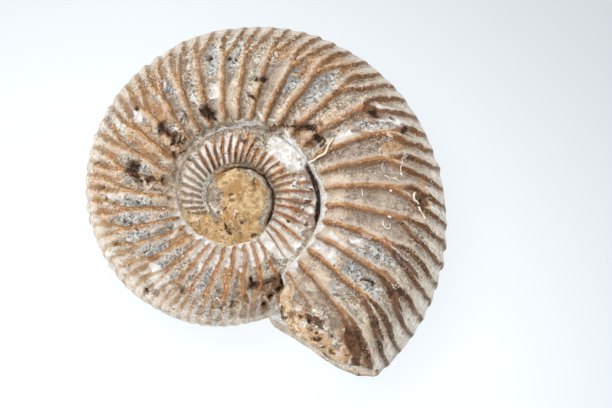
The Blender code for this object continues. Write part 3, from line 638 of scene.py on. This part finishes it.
def plug(rim, rings, height):
    """The rock in the centre: a dome of rings that shrink from the rim to its top.

    The height is height + (rim - height) * share^flatness, and a fan joins the rim's columns to
    the fewer ones of the rings.
    """
    coarse = np.concatenate(skin_points)[rim][::PLUG_COLUMN_STEP]
    share = np.linspace(1, 0, rings + 1)[1:, None]
    top = np.array([*PLUG_CENTRE, height])
    points = top + (coarse - top) * share[..., None]
    points[..., 2] = height + (coarse[:, 2] - height) * share ** PLUG_FLATNESS
    uneven = 0.25 * noise(points, 2.4, 61) + 0.14 * noise(points, 0.9, 62, octaves=2)
    direction = np.degrees(np.arctan2(points[..., 1] - top[1], points[..., 0] - top[0]))
    rim_crack = bell((share - 0.925 + 0.025 * noise(points, 0.9, 64, octaves=2)) / 0.033)
    rim_crack *= between(-50, -30, 110, 135, direction)
    # The rim crack is cut in, and also painted dark for the shadow in it.
    depth, dark = 0.8 * rim_crack, 1.1 * rim_crack
    moved = points + 0.25 * noise(points, 0.8, 65, octaves=2)[..., None]
    for x, y, length, width, turn, deep, darkness in PLUG_PITS:
        cosine, sine = math.cos(math.radians(turn)), math.sin(math.radians(turn))
        off_x, off_y = moved[..., 0] - x, moved[..., 1] - y
        pit = dish((off_x * cosine + off_y * sine) / length, (off_y * cosine - off_x * sine) / width)
        depth, dark = np.maximum(depth, deep * pit), np.maximum(dark, darkness * pit)
    points[..., 2] += (uneven * ramp(1.0, 0.9, share) - depth) * np.sign(height)
    on_left = ramp(120, 150, np.abs(direction))
    rim_grey = share + 0.12 * noise(points, 1.5, 63, octaves=2) + 0.15 * on_left
    rim_grey = ramp(0.62, 0.86, rim_grey)
    rim_grey *= np.clip(between(-60, -40, 75, 105, direction) + on_left, 0, 1)
    pale = np.exp(-np.hypot((moved[..., 0] - 0.8) / 0.8, (moved[..., 1] + 0.4) / 1.7) ** 3)
    index = add_points(points, dark=dark * (height > 0), rock=1 - 0.95 * rim_grey,
                       clay=(0.35 + 0.6 * on_left) * rim_grey, cream=0.4 * rim_grey,
                       pink=0.3 * rim_grey, chalk=0.25 * pale)
    index[-1] = index[-1, 0]
    fan = np.concatenate([rim.reshape(-1, PLUG_COLUMN_STEP),
                          np.roll(rim, -PLUG_COLUMN_STEP)[::PLUG_COLUMN_STEP, None]], axis=1)
    near, after = index[0], np.roll(index[0], -1)
    half = PLUG_COLUMN_STEP // 2
    fan_faces = [(fan[:, i], fan[:, i + 1], near if i < half else after)
                 for i in range(PLUG_COLUMN_STEP)] + [(near, fan[:, half], after)]
    fan_faces = np.array([np.stack(face, -1) for face in fan_faces])
    rows = np.concatenate([index, index[:, :1]], axis=1)
    add_faces(fan_faces if height > 0 else fan_faces[..., ::-1])
    add_grid(rows[:, ::-1] if height > 0 else rows)


def aperture(last, rows):
    """The broken end: a hollow, lumpy face between the shell's edge and the whorl before."""
    outer = last[0]
    pick = np.linspace(UPPER_WALL, len(places) - 1 - LOWER_WALL, len(places))
    inner = last[-1, np.round(pick).astype(int)]
    all_points = np.concatenate(skin_points)
    share = (np.arange(1, rows) / rows)[:, None]
    middle = np.sin(np.pi * np.arange(len(places)) / (len(places) - 1))
    direction = math.radians(APERTURE_DIRECTION)
    into_shell = np.array([-math.sin(direction), math.cos(direction), 0.0])
    points = all_points[outer] * (1 - share[..., None]) + all_points[inner] * share[..., None]
    upper = between(0.05, 0.25, 0.72, 0.9, places)
    lumpy = 0.45 * noise(points, 2.0, 71, octaves=3) + 0.3 * noise(points, 5.0, 72)
    infill = ramp(-4.5, -2.0, points[..., 2] + noise(points, 2.0, 75))
    pits = ramp(0.2, 0.5, noise(points, 1.3, 73, octaves=2)) * infill
    depth = APERTURE_HOLLOW * np.sin(np.pi * share) * middle * ramp(0.3, -0.2, places)
    depth -= ROCK_BULGE * bell((share - 0.22) / 0.16) * upper
    depth += (lumpy * (0.3 + 0.7 * infill) + 0.6 * pits) * ramp(0, 0.12, share)
    depth += 0.12 * upper * noise(points, 0.7, 77, octaves=2)
    points = points + into_shell * depth[..., None]
    bulge = ramp(0.55, 0.35, share) * upper
    flecks = noise(points, 1.1, 76, octaves=2)
    # The inner part of the broken face is whitened: partly its pale stone, partly painted light for
    # the table's glow on a face turned from the lamps; the specks on the bulge are chalk.
    chalk = np.maximum(0.5 * bulge * ramp(-0.15, -0.5, flecks), 0.8 * ramp(0.35, 0.6, share))
    index = add_points(points, clay=pits, rock=0.46 * bulge, cream=1.5 - 0.5 * bulge,
                       dark=np.maximum(0.42 * pits, 0.7 * bulge * ramp(0.4, 0.65, flecks)),
                       rust=1.2 * bulge * ramp(0.35, -0.15, flecks), chalk=(1 - pits) * chalk)
    index[:, 0], index[:, -1] = outer[0], outer[-1]
    add_grid(np.concatenate([outer[None, :], index, inner[None, :]])[:, ::-1])


whorl_index = last_whorl()
plug(inner_whorl(whorl_index, 1), 28, UPPER_PLUG_HEIGHT)
plug(inner_whorl(whorl_index, -1), 8, -LOWER_PLUG_HEIGHT)
aperture(whorl_index, 24)

skin, masks, faces = (np.concatenate(blocks) for blocks in (skin_points, skin_masks, skin_faces))
used = np.zeros(len(skin), bool)
used[faces.ravel()] = True
faces = (np.cumsum(used) - 1)[faces]
skin, masks = skin[used], masks[used]

REST_LEAN, REST_LEAN_DIRECTION = 3.65, 128.5
COIL_CENTRE = (-3.698, -0.233, 6.827)   # where the coil's axis crosses its middle plane, in mm


def tilted(degrees, direction):
    """The turn that tips the coil's axis by these degrees towards a direction."""
    toward = math.radians(direction)
    return Matrix.Rotation(math.radians(degrees), 3, Vector((-math.sin(toward), math.cos(toward), 0)))


def placed(name, data):
    """An object with this data, linked in the scene."""
    made = bpy.data.objects.new(name, data)
    bpy.context.scene.collection.objects.link(made)
    return made


def smooth_piece(name, points, faces):
    """A smooth mesh of points in mm, with its normals turned outwards."""
    mesh = bpy.data.meshes.new(name)
    mesh.from_pydata((points * MM).tolist(), [], faces)
    body = bmesh.new()
    body.from_mesh(mesh)
    bmesh.ops.recalc_face_normals(body, faces=body.faces[:])
    body.to_mesh(mesh)
    body.free()
    mesh.shade_smooth()
    return placed(name, mesh)


lean = tilted(REST_LEAN, REST_LEAN_DIRECTION)
skin = skin @ np.array(lean).T + np.array(COIL_CENTRE)
skin[:, 2] = np.maximum(skin[:, 2], 0)      # the rib crests that it rests on are worn flat
ammonite = smooth_piece("ammonite_fossil", skin, faces.tolist())
for number, name in enumerate(MASKS):
    attribute = ammonite.data.attributes.new(name, "FLOAT", "POINT")
    attribute.data.foreach_set("value", masks[:, number].astype(np.float32))


# ---- Fossil limestone -------------------------------------------------------------------------------
# Fine-grained limestone and calcite with rusty iron stain, chalk, clay and marl: dull, mottled grey
# and beige, with brown rib crests. The masks say where each deposit lies, and noises at their real
# grain size, from 0.15 to 3 mm, break up their edges.

# The size of the lumps in mm, and the noise's detail, roughness and distortion
GRAINS = {"broad": (3.0, 4.0, 0.6, 0.0), "bands": (2.2, 3.0, 0.6, 0.5),
          "lumps": (1.2, 4.0, 0.65, 0.0), "smears": (1.0, 4.0, 0.7, 0.0),
          "mottles": (0.62, 4.0, 0.7, 0.3), "flecks": (0.5, 4.0, 0.65, 0.6),
          "specks": (0.26, 3.0, 0.7, 0.4), "crumbs": (0.15, 2.0, 0.7, 0.0)}
GROWTH_LINES = 6.0              # fine lines beside the ribs, for each rib: coarser than the real ones
TWO_TONES = (0.44, 0.58)        # of a grain: from the first tone of a deposit or a brown to its second

# Mottles of the bare stone: the grain they follow, where it starts and ends, cover and colour
MOTTLES = [
    ("smears", 0.5, 0.62, 0.55, "#b5a68f"), ("lumps", 0.5, 0.58, 0.65, "#c0b6a5"),
    ("bands", 0.56, 0.64, 0.4, "#a47f52"), ("mottles", 0.5, 0.6, 0.75, "#5f564c"),
    ("flecks", 0.52, 0.6, 0.8, "#ded8cb"), ("specks", 0.53, 0.61, 0.5, "#716f6c"),
    ("specks", 0.45, 0.38, 0.35, "#b18a5c"), ("crumbs", 0.54, 0.62, 0.4, "#4f4136"),
    ("crumbs", 0.45, 0.37, 0.4, "#e6e0d4"), ("growth_lines", 0.52, 0.62, 0.45, "#85776a"),
    ("growth_lines", 0.46, 0.36, 0.45, "#d0c5b3"),
]

# Deposits: their mask, how far the noise pushes its edge, where they start and end, cover, their two
# colours, and the grain that mottles them
DEPOSITS = [
    # The pale venter: worn shell, with painted light on the rim
    ("bleached", 1.4, 0.05, 0.85, 0.9, "#f2ece2", "#d5cbbc", "flecks"),
    ("pink", 0.6, 0.1, 0.9, 0.58, "#88786f", "#a69486", "lumps"),
    ("blue_grey", 2.6, 0.28, 0.68, 0.85, "#878f93", "#c6c9c7", "flecks"),
    ("cream", 3.0, 0.22, 0.72, 0.75, "#dccebb", "#c1af99", "lumps"),
    ("clay", 3.0, 0.22, 0.72, 0.75, "#7a6c5e", "#aa9a85", "flecks"),
    ("rust", 3.0, 0.25, 0.75, 0.65, "#9c6a3c", "#c19661", "flecks"),
    ("chalk", 3.0, 0.28, 0.7, 0.85, "#ecf0f2", "#cac7c1", "flecks"),
    ("rock", 1.2, 0.35, 0.62, 1.0, "#a57f4e", "#ceb488", "lumps"),
]

# Grains that show only on one deposit, each given like a mottle
DEPOSIT_GRAINS = {
    "blue_grey": [("mottles", 0.52, 0.6, 0.8, "#7a756d"), ("specks", 0.53, 0.59, 0.95, "#2f353a")],
    "rock": [("mottles", 0.52, 0.62, 0.65, "#86683f"), ("bands", 0.52, 0.62, 0.4, "#b98a50"),
             ("smears", 0.53, 0.61, 0.45, "#d9c8a6"), ("specks", 0.56, 0.64, 0.5, "#6b4f30")],
}

# The finest grains, as coarse as they need to be to show, each given like a mottle
FINEST_GRAINS = [
    ("specks", 0.55, 0.63, 0.45, "#6f6153"), ("specks", 0.43, 0.36, 0.3, "#c2a17a"),
    ("crumbs", 0.56, 0.65, 0.5, "#4c3f34"), ("crumbs", 0.44, 0.35, 0.4, "#efeae0"),
    ("specks", 0.625, 0.66, 0.85, "#2c2219"), ("smears", 0.395, 0.355, 0.55, "#f1ece3"),
]


def linear(hex_colour):
    """sRGB hex colour to linear light: ((c + 0.055) / 1.055)^2.4 above the straight foot."""
    channels = [int(hex_colour[i:i + 2], 16) / 255 for i in (1, 3, 5)]
    light = [c / 12.92 if c <= 0.04045 else ((c + 0.055) / 1.055) ** 2.4 for c in channels]
    return (*light, 1.0)


def add_node(tree, kind, *inputs, **settings):
    """Add a node with these settings, and with these values or links in its usable sockets in order.

    A hex colour turns to linear, and None leaves a socket as it is. Gives its first usable output.
    """
    made = tree.nodes.new(kind)
    for name, value in settings.items():
        setattr(made, name, value)
    sockets = [socket for socket in made.inputs if socket.enabled]
    for socket, value in zip(sockets, inputs):
        if isinstance(value, bpy.types.NodeSocket):
            tree.links.new(value, socket)
        elif value is not None:
            socket.default_value = linear(value) if isinstance(value, str) else value
    return next((socket for socket in made.outputs if socket.enabled), None)


limestone = bpy.data.materials.new("fossil_limestone")
limestone.use_nodes = True
limestone.node_tree.nodes.clear()
node = partial(add_node, limestone.node_tree)
MATH, RANGE, MIX = "ShaderNodeMath", "ShaderNodeMapRange", "ShaderNodeMix"
SMOOTH, COLOUR = {"interpolation_type": "SMOOTHSTEP"}, {"data_type": "RGBA"}
TIMES, TIMES_PLUS = {"operation": "MULTIPLY"}, {"operation": "MULTIPLY_ADD"}


def layer(under, value, start, end, cover, colour, strength=None):
    """Lay a colour over another: none where the value is at start, and cover * strength at end."""
    shown = node(RANGE, value, start, end, 0.0, cover, **SMOOTH)
    if strength:
        shown = node(MATH, shown, strength, **TIMES)
    return node(MIX, shown, under, colour, **COLOUR)


whole_place = node("ShaderNodeTexCoord").node.outputs["Object"]
place_in_mm = node("ShaderNodeMapping", whole_place, None, None, (1 / MM, 1 / MM, 1 / MM))
mask = {name: node("ShaderNodeAttribute", attribute_name=name).node.outputs["Fac"] for name in MASKS}
grain = {name: node("ShaderNodeTexNoise", place_in_mm, 0.6 / size, detail, rough, 2.0, twist)
         for name, (size, detail, rough, twist) in GRAINS.items()}
bent_count = node(MATH, grain["bands"], 0.5, mask["ribs"], **TIMES_PLUS)
grain["growth_lines"] = node("ShaderNodeTexNoise", bent_count, GROWTH_LINES, 3.0, 0.75,
                             noise_dimensions="1D")

stone = layer("#746c64", grain["broad"], 0.42, 0.58, 1.0, "#938575")
for name, *shows in MOTTLES:
    stone = layer(stone, grain[name], *shows)

ragged = node(MATH, grain["flecks"], 0.5, node(MATH, grain["lumps"], 0.5, **TIMES), **TIMES_PLUS)
for name, push, start, end, cover, colour, other_colour, mottle in DEPOSITS:
    deposit = layer(colour, grain[mottle], *TWO_TONES, 1.0, other_colour)
    for speck, *shows in DEPOSIT_GRAINS.get(name, []):
        deposit = layer(deposit, grain[speck], *shows)
    pushed = node(MATH, ragged, push, mask[name], **TIMES_PLUS)
    stone = layer(stone, pushed, start + push / 2, end + push / 2, cover, deposit)

# The way in mm to the nearest rib crest, below 0 on the side towards the aperture. A forked rib has
# two crests, a quarter of the spacing to each side.
ways = []
for side in (-1.0, 1.0):
    count = node(MATH, mask["fork"], side, mask["ribs"], **TIMES_PLUS)
    off = node(MATH, count, node(MATH, count, operation="ROUND"), operation="SUBTRACT")
    way = node(MATH, off, mask["spacing"], **TIMES)
    ways.append((way, node(MATH, way, operation="ABSOLUTE")))
first_nearer = node(MATH, ways[0][1], ways[1][1], operation="LESS_THAN")
way = node(MIX, first_nearer, ways[1][0], ways[0][0], data_type="FLOAT")
sway = node(MATH, grain["lumps"], 0.5, -0.5, **TIMES_PLUS)
sway = node(MATH, grain["flecks"], 0.5, sway, **TIMES_PLUS)
way = node(MATH, way, sway, operation="ADD")

# Young ribs, near the aperture, get painted shade: a dark band below the crest, standing for the shade
# on their steep side, with a darker painted edge in it. Every crest gets a painted highlight, a pale
# band above it, and the line itself: ochre on the flank, dark chestnut on the young outer part.
bare_rib = node(RANGE, mask["hidden"], 0.55, 0.1, **SMOOTH)
young = node(RANGE, mask["ribs"], 20.0, 7.0, 0.22, 1.0, **SMOOTH)
inner = node(RANGE, mask["ribs"], 35.5, 36.0, **SMOOTH)
outer = node(RANGE, mask["fork"], 0.03, 0.22, **SMOOTH)
below = node(RANGE, way, -1.45, -0.1, **SMOOTH)
for share in (node(RANGE, way, 0.1, -0.1, **SMOOTH), node(MATH, young, bare_rib, **TIMES),
              node(RANGE, grain["bands"], 0.38, 0.56, 0.45, 0.85)):
    below = node(MATH, below, share, **TIMES)
edge_on = node(RANGE, way, -0.5, -0.28, **SMOOTH)
for share in (node(RANGE, way, 0.0, -0.2, **SMOOTH), below):
    edge_on = node(MATH, edge_on, share, **TIMES)
above = node(RANGE, way, 0.15, 0.32, **SMOOTH)
for share in (node(RANGE, way, 1.0, 0.45, 0.0, 0.55, **SMOOTH), bare_rib):
    above = node(MATH, above, share, **TIMES)
# Lay on the painted shade below the crest, its darker painted edge, and the painted highlight above it
for band, colour in ((below, "#5e4634"), (edge_on, "#442b17"), (above, "#cfc0b0")):
    stone = node(MIX, band, stone, colour, **COLOUR)

# The crest's own line: thinner on the first ribs and the inner whorl's right, and patchy on the rim
line_way = node(MATH, mask["fork"], 0.9, way, **TIMES_PLUS)
line_gap = node(MATH, line_way, operation="ABSOLUTE")
inner_right = node(MATH, inner, node(RANGE, mask["ribs"], 49.0, 45.0), **TIMES)
thin = node(MATH, node(RANGE, mask["ribs"], 11.0, 16.0, 0.95, 0.75),
            node(RANGE, mask["ribs"], 2.0, 7.0, 0.68, 1.0), **TIMES)
thin = node(MATH, inner_right, 0.3, thin, **TIMES_PLUS)
faded = node(MATH, outer, node(RANGE, young, 0.3, 0.9, 0.3, 0.0), **TIMES)
line = node(RANGE, node(MATH, line_gap, thin, **TIMES), 0.27, 0.12, **SMOOTH)
for share in (bare_rib, node(MATH, 1.0, faded, operation="SUBTRACT"),
              node(RANGE, grain["bands"], 0.36, 0.5, 0.5, 0.95),
              node(RANGE, mask["bleached"], 0.5, 1.0, 1.0, 0.24)):
    line = node(MATH, line, share, **TIMES)

# Its browns, each of two tones, and a faint halo of them on the stone beside it
flecked = node(RANGE, grain["flecks"], *TWO_TONES, **SMOOTH)
ochre, chestnut, dull, inner_brown, rusty = (
    node(MIX, flecked, *tones, **COLOUR)
    for tones in (("#9c6b38", "#bd9460"), ("#4a270b", "#6d401b"), ("#8a6436", "#ad8a5a"),
                  ("#633a18", "#a26a36"), ("#7a4418", "#b0743a")))
ochre = layer(ochre, grain["mottles"], 0.5, 0.6, 0.7, "#7c4e26")
for share, colour in ((node(RANGE, young, 0.3, 0.8, 0.0, 0.5), "#a87446"),
                      (node(RANGE, mask["ribs"], 26.0, 31.0, 0.0, 0.6), "#aa6a28")):
    ochre = node(MIX, share, ochre, colour, **COLOUR)
# The crest's lower side is darker: partly brown stain, partly painted shade, as that side is turned
# from the light.
ochre = layer(ochre, line_way, 0.02, -0.2, 0.75, "#6f452a")     # the crest's lower side
at_mouth = node(MATH, node(RANGE, mask["ribs"], 5.6, 3.6, 0.0, 0.85),
                node(RANGE, mask["fork"], 0.0, 0.1), **TIMES)
brown = ochre
for share, colour in ((outer, node(MIX, young, dull, chestnut, **COLOUR)),
                      (inner, node(MIX, inner_right, inner_brown, rusty, **COLOUR)),
                      (node(RANGE, mask["ribs"], 56.0, 58.0, **SMOOTH), "#84705a"),
                      (at_mouth, "#43270f")):
    brown = node(MIX, share, brown, colour, **COLOUR)
halo_shown = node(MATH, line, bare_rib, operation="MAXIMUM")
stone = layer(stone, line_gap, 0.6, 0.18, 0.3, "#b3895f", halo_shown)
stone = node(MIX, line, stone, brown, **COLOUR)

# Nests of dark umber, with painted shade in the fork hollows, then the finest grains where the stone
# is gritty, and the dark marks: pits and cracks, and painted shadow in the fork hollows, the inner
# whorl's crevice and the crack round the centre's rock
pushed = node(MATH, ragged, 2.0, mask["umber"], **TIMES_PLUS)
pushed = node(MATH, grain["specks"], 1.4, pushed, **TIMES_PLUS)
crusted = node(RANGE, pushed, 2.0, 2.45, 0.0, 0.9, **SMOOTH)
umber = layer("#301604", grain["mottles"], *TWO_TONES, 1.0, "#5a2d0e")
stone = node(MIX, crusted, stone, umber, **COLOUR)

gritty = node(RANGE, grain["bands"], 0.4, 0.58, 0.15, 1.0, **SMOOTH)
for deposit, start, end, left in ((mask["chalk"], 0.5, 1.0, 0.35), (crusted, 0.0, 0.9, 0.25),
                                  (mask["pink"], 0.4, 1.0, 0.7)):
    gritty = node(MATH, gritty, node(RANGE, deposit, start, end, 1.0, left), **TIMES)
for name, *shows in FINEST_GRAINS:
    stone = layer(stone, grain[name], *shows, gritty)
for name, push, *shows in (("mottles", 1.8, 0.98, 1.35, 0.75, "#76553a"),
                           ("specks", 2.6, 1.72, 2.05, 0.95, "#241811")):
    stone = layer(stone, node(MATH, grain[name], push, mask["dark"], **TIMES_PLUS), *shows)

height = 0.0
for name, share in (("lumps", 0.25), ("flecks", 0.2), ("specks", 0.12), ("crumbs", 0.05)):
    height = node(MATH, grain[name], share, height, **TIMES_PLUS)
bump = node("ShaderNodeBump", 0.9, MM)
dullness = node(RANGE, grain["flecks"], 0.35, 0.65, 0.5, 0.8)
surface = node("ShaderNodeBsdfPrincipled")
sockets = surface.node.inputs
for value, socket in ((height, bump.node.inputs["Height"]), (stone, sockets["Base Color"]),
                      (dullness, sockets["Roughness"]), (bump, sockets["Normal"])):
    limestone.node_tree.links.new(value, socket)
sockets["IOR"].default_value = 1.55
sockets["Specular IOR Level"].default_value = 0.25      # open pores hold back half of the shine
node("ShaderNodeOutputMaterial", surface)
ammonite.data.materials.append(limestone)

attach(ammonite, "root")
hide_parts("ammonite")


# ---- Thread of lime and lint ------------------------------------------------------------------------
# A thin pale thread of lime lies across the seam, a few cotton fibres have caught on the rough ribs,
# and crumbs of lime cling to them. Each is a round tube along a smooth curve through chosen places.

# Growth angle, place, and height above the stone in mm, of each point that a strand passes
LIME_THREADS = [
    [(83.2, 0.975, 0.1), (82.6, 0.92, 0.4), (82.5, 0.866, 0.5), (83.2, 0.813, 0.55),
     (83.8, 0.773, 0.5), (85.2, 0.745, 0.35), (87.2, 0.719, 0.1)],
    [(65.6, 0.428, 0.05), (65, 0.43, 0.18), (64.4, 0.434, 0.02)],
    [(60.4, 0.503, 0.02), (59.8, 0.507, 0.2), (59.2, 0.504, 0.02)],
    [(50.4, 0.52, 0.02), (49.8, 0.516, 0.2), (49.2, 0.51, 0.02)],
    [(59.9, 0.352, 0.02), (58.2, 0.366, 0.22), (56.6, 0.37, 0.18), (55.4, 0.355, 0.12),
     (54, 0.335, 0.22), (52.4, 0.322, 0.1), (50.8, 0.306, 0.02)],
]
FIBRES = [
    [(69.7, 0.408, 0.02), (68.6, 0.41, 0.3), (67.2, 0.416, 0.42), (65.9, 0.423, 0.3),
     (65, 0.43, 0.1)],
    [(64.6, 0.526, 0.02), (64, 0.515, 0.25), (62.9, 0.505, 0.32), (61.8, 0.502, 0.22),
     (60.8, 0.504, 0.02)],
    [(63.5, 0.492, 0.15), (63.4, 0.48, 0.3), (62.4, 0.468, 0.3), (62, 0.452, 0.02)],
    [(47.6, 0.548, 0.02), (46.4, 0.543, 0.22), (45.3, 0.53, 0.32), (44.9, 0.512, 0.35),
     (45.7, 0.5, 0.32), (46.9, 0.5, 0.28), (47.5, 0.51, 0.05)],
    [(59.8, 0.668, 0.02), (58.6, 0.666, 0.16), (57.4, 0.664, 0.16), (56.2, 0.666, 0.02)],
]
LIME_THICKNESS, FIBRE_THICKNESS = 0.26, 0.11


def smooth_curve(corners, samples=12):
    """Catmull-Rom curve through the points: a cubic between each two, with the neighbours' slopes."""
    padded = np.concatenate([corners[:1], corners, corners[-1:]])
    step = np.linspace(0, len(corners) - 1, samples * (len(corners) - 1) + 1)
    first = np.minimum(step.astype(int), len(corners) - 2)
    t = (step - first)[:, None]
    p0, p1, p2, p3 = (padded[first + i] for i in range(4))
    return 0.5 * (2 * p1 + (p2 - p0) * t + (2 * p0 - 5 * p1 + 4 * p2 - p3) * t ** 2
                  + (3 * p1 - p0 - 3 * p2 + p3) * t ** 3)


def on_stone(growth, place, lift):
    """Point in mm that is this high above the skin's vertex nearest to a place on the bare shell."""
    bare = coil_point(np.array(growth), np.array(place)) @ np.array(lean).T + np.array(COIL_CENTRE)
    return skin[np.argmin(((skin - bare) ** 2).sum(axis=1))] + np.array([0, 0, lift])


def strands(name, paths, thickness, material, sides=8):
    """Round tubes: a ring of sides square to the curve at each step, drawn in to a blunt end."""
    points, faces = [], []
    for path in paths:
        curve = smooth_curve(np.array([on_stone(*stop) for stop in path]))
        along = np.gradient(curve, axis=0)
        along /= np.linalg.norm(along, axis=1, keepdims=True)
        across = np.cross(along, [0.35, 0.2, 1.0])
        across /= np.linalg.norm(across, axis=1, keepdims=True)
        upward = np.cross(across, along)
        end = np.abs(np.linspace(-1, 1, len(curve)))
        wide = thickness / 2 * np.sqrt(1.02 - end ** 10) * (1 + 0.25 * noise(curve, 0.7, 81))
        turn = np.linspace(0, 2 * np.pi, sides, endpoint=False)[None, :, None]
        outward = np.cos(turn) * across[:, None] + np.sin(turn) * upward[:, None]
        start = sum(len(block) for block in points)
        index = start + np.arange(len(curve) * sides).reshape(len(curve), sides)
        after = np.roll(index, -1, axis=1)
        points.append((curve[:, None] + wide[:, None, None] * outward).reshape(-1, 3))
        faces += np.stack([index[:-1], after[:-1], after[1:], index[1:]], -1).reshape(-1, 4).tolist()
        faces += [index[0].tolist(), index[-1, ::-1].tolist()]
    piece = smooth_piece(name, np.concatenate(points), faces)
    piece.data.materials.append(material)
    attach(piece, "root")


def strand_material(name, colour, other_colour, roughness, ior):
    """Two near colours in patches of a third of a millimetre."""
    material = bpy.data.materials.new(name)
    material.use_nodes = True
    tree = material.node_tree
    place = add_node(tree, "ShaderNodeTexCoord").node.outputs["Object"]
    patchy = add_node(tree, "ShaderNodeTexNoise", place, 0.6 / (0.33 * MM), 3.0, 0.6)
    share = add_node(tree, RANGE, patchy, 0.42, 0.58, **SMOOTH)
    sockets = tree.nodes["Principled BSDF"].inputs
    tree.links.new(add_node(tree, MIX, share, colour, other_colour, **COLOUR), sockets["Base Color"])
    sockets["Roughness"].default_value = roughness
    sockets["IOR"].default_value = ior
    return material


strands("lime_thread", LIME_THREADS, LIME_THICKNESS,
        strand_material("pale_calcite", "#ece4d5", "#cfc2ac", 0.6, 1.55))
strands("lint_fibres", FIBRES, FIBRE_THICKNESS,
        strand_material("cotton_fibre", "#efe9de", "#cdbca2", 0.8, 1.53))


# ---- Studio -----------------------------------------------------------------------------------------
# A white table that glows, most at the near left, in a bright room. A broad soft light stands high
# on the far side, and two faint cards stand low, at the near left and at the right. The camera looks
# down on the fossil from the near side, from a third of a metre.

VIEW_LEAN, VIEW_LEAN_DIRECTION = 12.0, 100.0    # of the coil's axis away from the line of sight
VIEW_DISTANCE = 330.0                           # in mm
PIXELS_PER_MM = 8.35
COIL_PIXEL = (235.5, 201.0)                     # of the coil's centre, in a picture of 612 x 408
PICTURE = (612, 408)
SENSOR = 36.0
TABLE_HALF, TABLE_DROP = 2, 0.0001              # in metres: the drop keeps it clear of the stone
BRIGHT_PLACE = (-0.016, -0.031, 0)              # where the table glows most, in metres
GLOW_REACH, GLOW = (0.03, 0.1), (0.94, 0.47)    # distances from there, and the glow at each
AIM = (0, 0, 0.005)                             # of the lights, in metres

camera_turn = lean @ tilted(VIEW_LEAN, VIEW_LEAN_DIRECTION).transposed()
offset = Vector(((COIL_PIXEL[0] - PICTURE[0] / 2) / PIXELS_PER_MM,
                 (PICTURE[1] / 2 - COIL_PIXEL[1]) / PIXELS_PER_MM, -VIEW_DISTANCE))
camera = placed("camera", bpy.data.cameras.new("camera"))
camera.location = (Vector(COIL_CENTRE) - camera_turn @ offset) * MM
camera.rotation_euler = camera_turn.to_euler()
camera.data.sensor_width = SENSOR
camera.data.lens = PIXELS_PER_MM * SENSOR * VIEW_DISTANCE / PICTURE[0]
camera.data.clip_start = 0.01
bpy.context.scene.camera = camera

floor_mesh = bpy.data.meshes.new("white_table")
floor_mesh.from_pydata([(TABLE_HALF * x, TABLE_HALF * y, -TABLE_DROP)
                        for x, y in ((-1, -1), (1, -1), (1, 1), (-1, 1))], [], [(0, 1, 2, 3)])
table_top = placed("white_table", floor_mesh)
white = bpy.data.materials.new("lit_white_acrylic")
white.use_nodes = True
tree = white.node_tree
acrylic = tree.nodes["Principled BSDF"].inputs
acrylic["Base Color"].default_value = linear("#5a5e60")
acrylic["Roughness"].default_value = 0.7
acrylic["Emission Color"].default_value = linear("#f1f7fb")
place_on_table = add_node(tree, "ShaderNodeTexCoord").node.outputs["Object"]
away = add_node(tree, "ShaderNodeVectorMath", place_on_table, BRIGHT_PLACE, operation="DISTANCE")
glow = add_node(tree, RANGE, away, *GLOW_REACH, *GLOW, **SMOOTH)
tree.links.new(glow, acrylic["Emission Strength"])
floor_mesh.materials.append(white)

# Each light's name, its two sides in metres, its power in watts, its colour and its place
for name, sides, power, colour, place in (
        ("soft_window", (0.4, 0.3), 2.48, "#fffaf3", (-0.12, 0.15, 0.47)),
        ("white_card", (0.3, 0.2), 0.56, "#ffffff", (-0.26, -0.22, 0.12)),
        ("side_card", (0.3, 0.16), 0.28, "#ffffff", (0.29, -0.07, 0.08))):
    light = bpy.data.lights.new(name, "AREA")
    light.shape = "RECTANGLE"
    light.size, light.size_y = sides
    light.energy = power
    light.color = linear(colour)[:3]
    lamp = placed(name, light)
    lamp.location = place
    lamp.rotation_euler = (Vector(AIM) - lamp.location).to_track_quat("-Z", "Y").to_euler()

room = bpy.data.worlds.new("bright_room")
room.use_nodes = True
background = room.node_tree.nodes["Background"].inputs
background["Color"].default_value = linear("#f3f7fb")
background["Strength"].default_value = 0.6
bpy.context.scene.world = room
bpy.context.scene.view_settings.view_transform = "Standard"
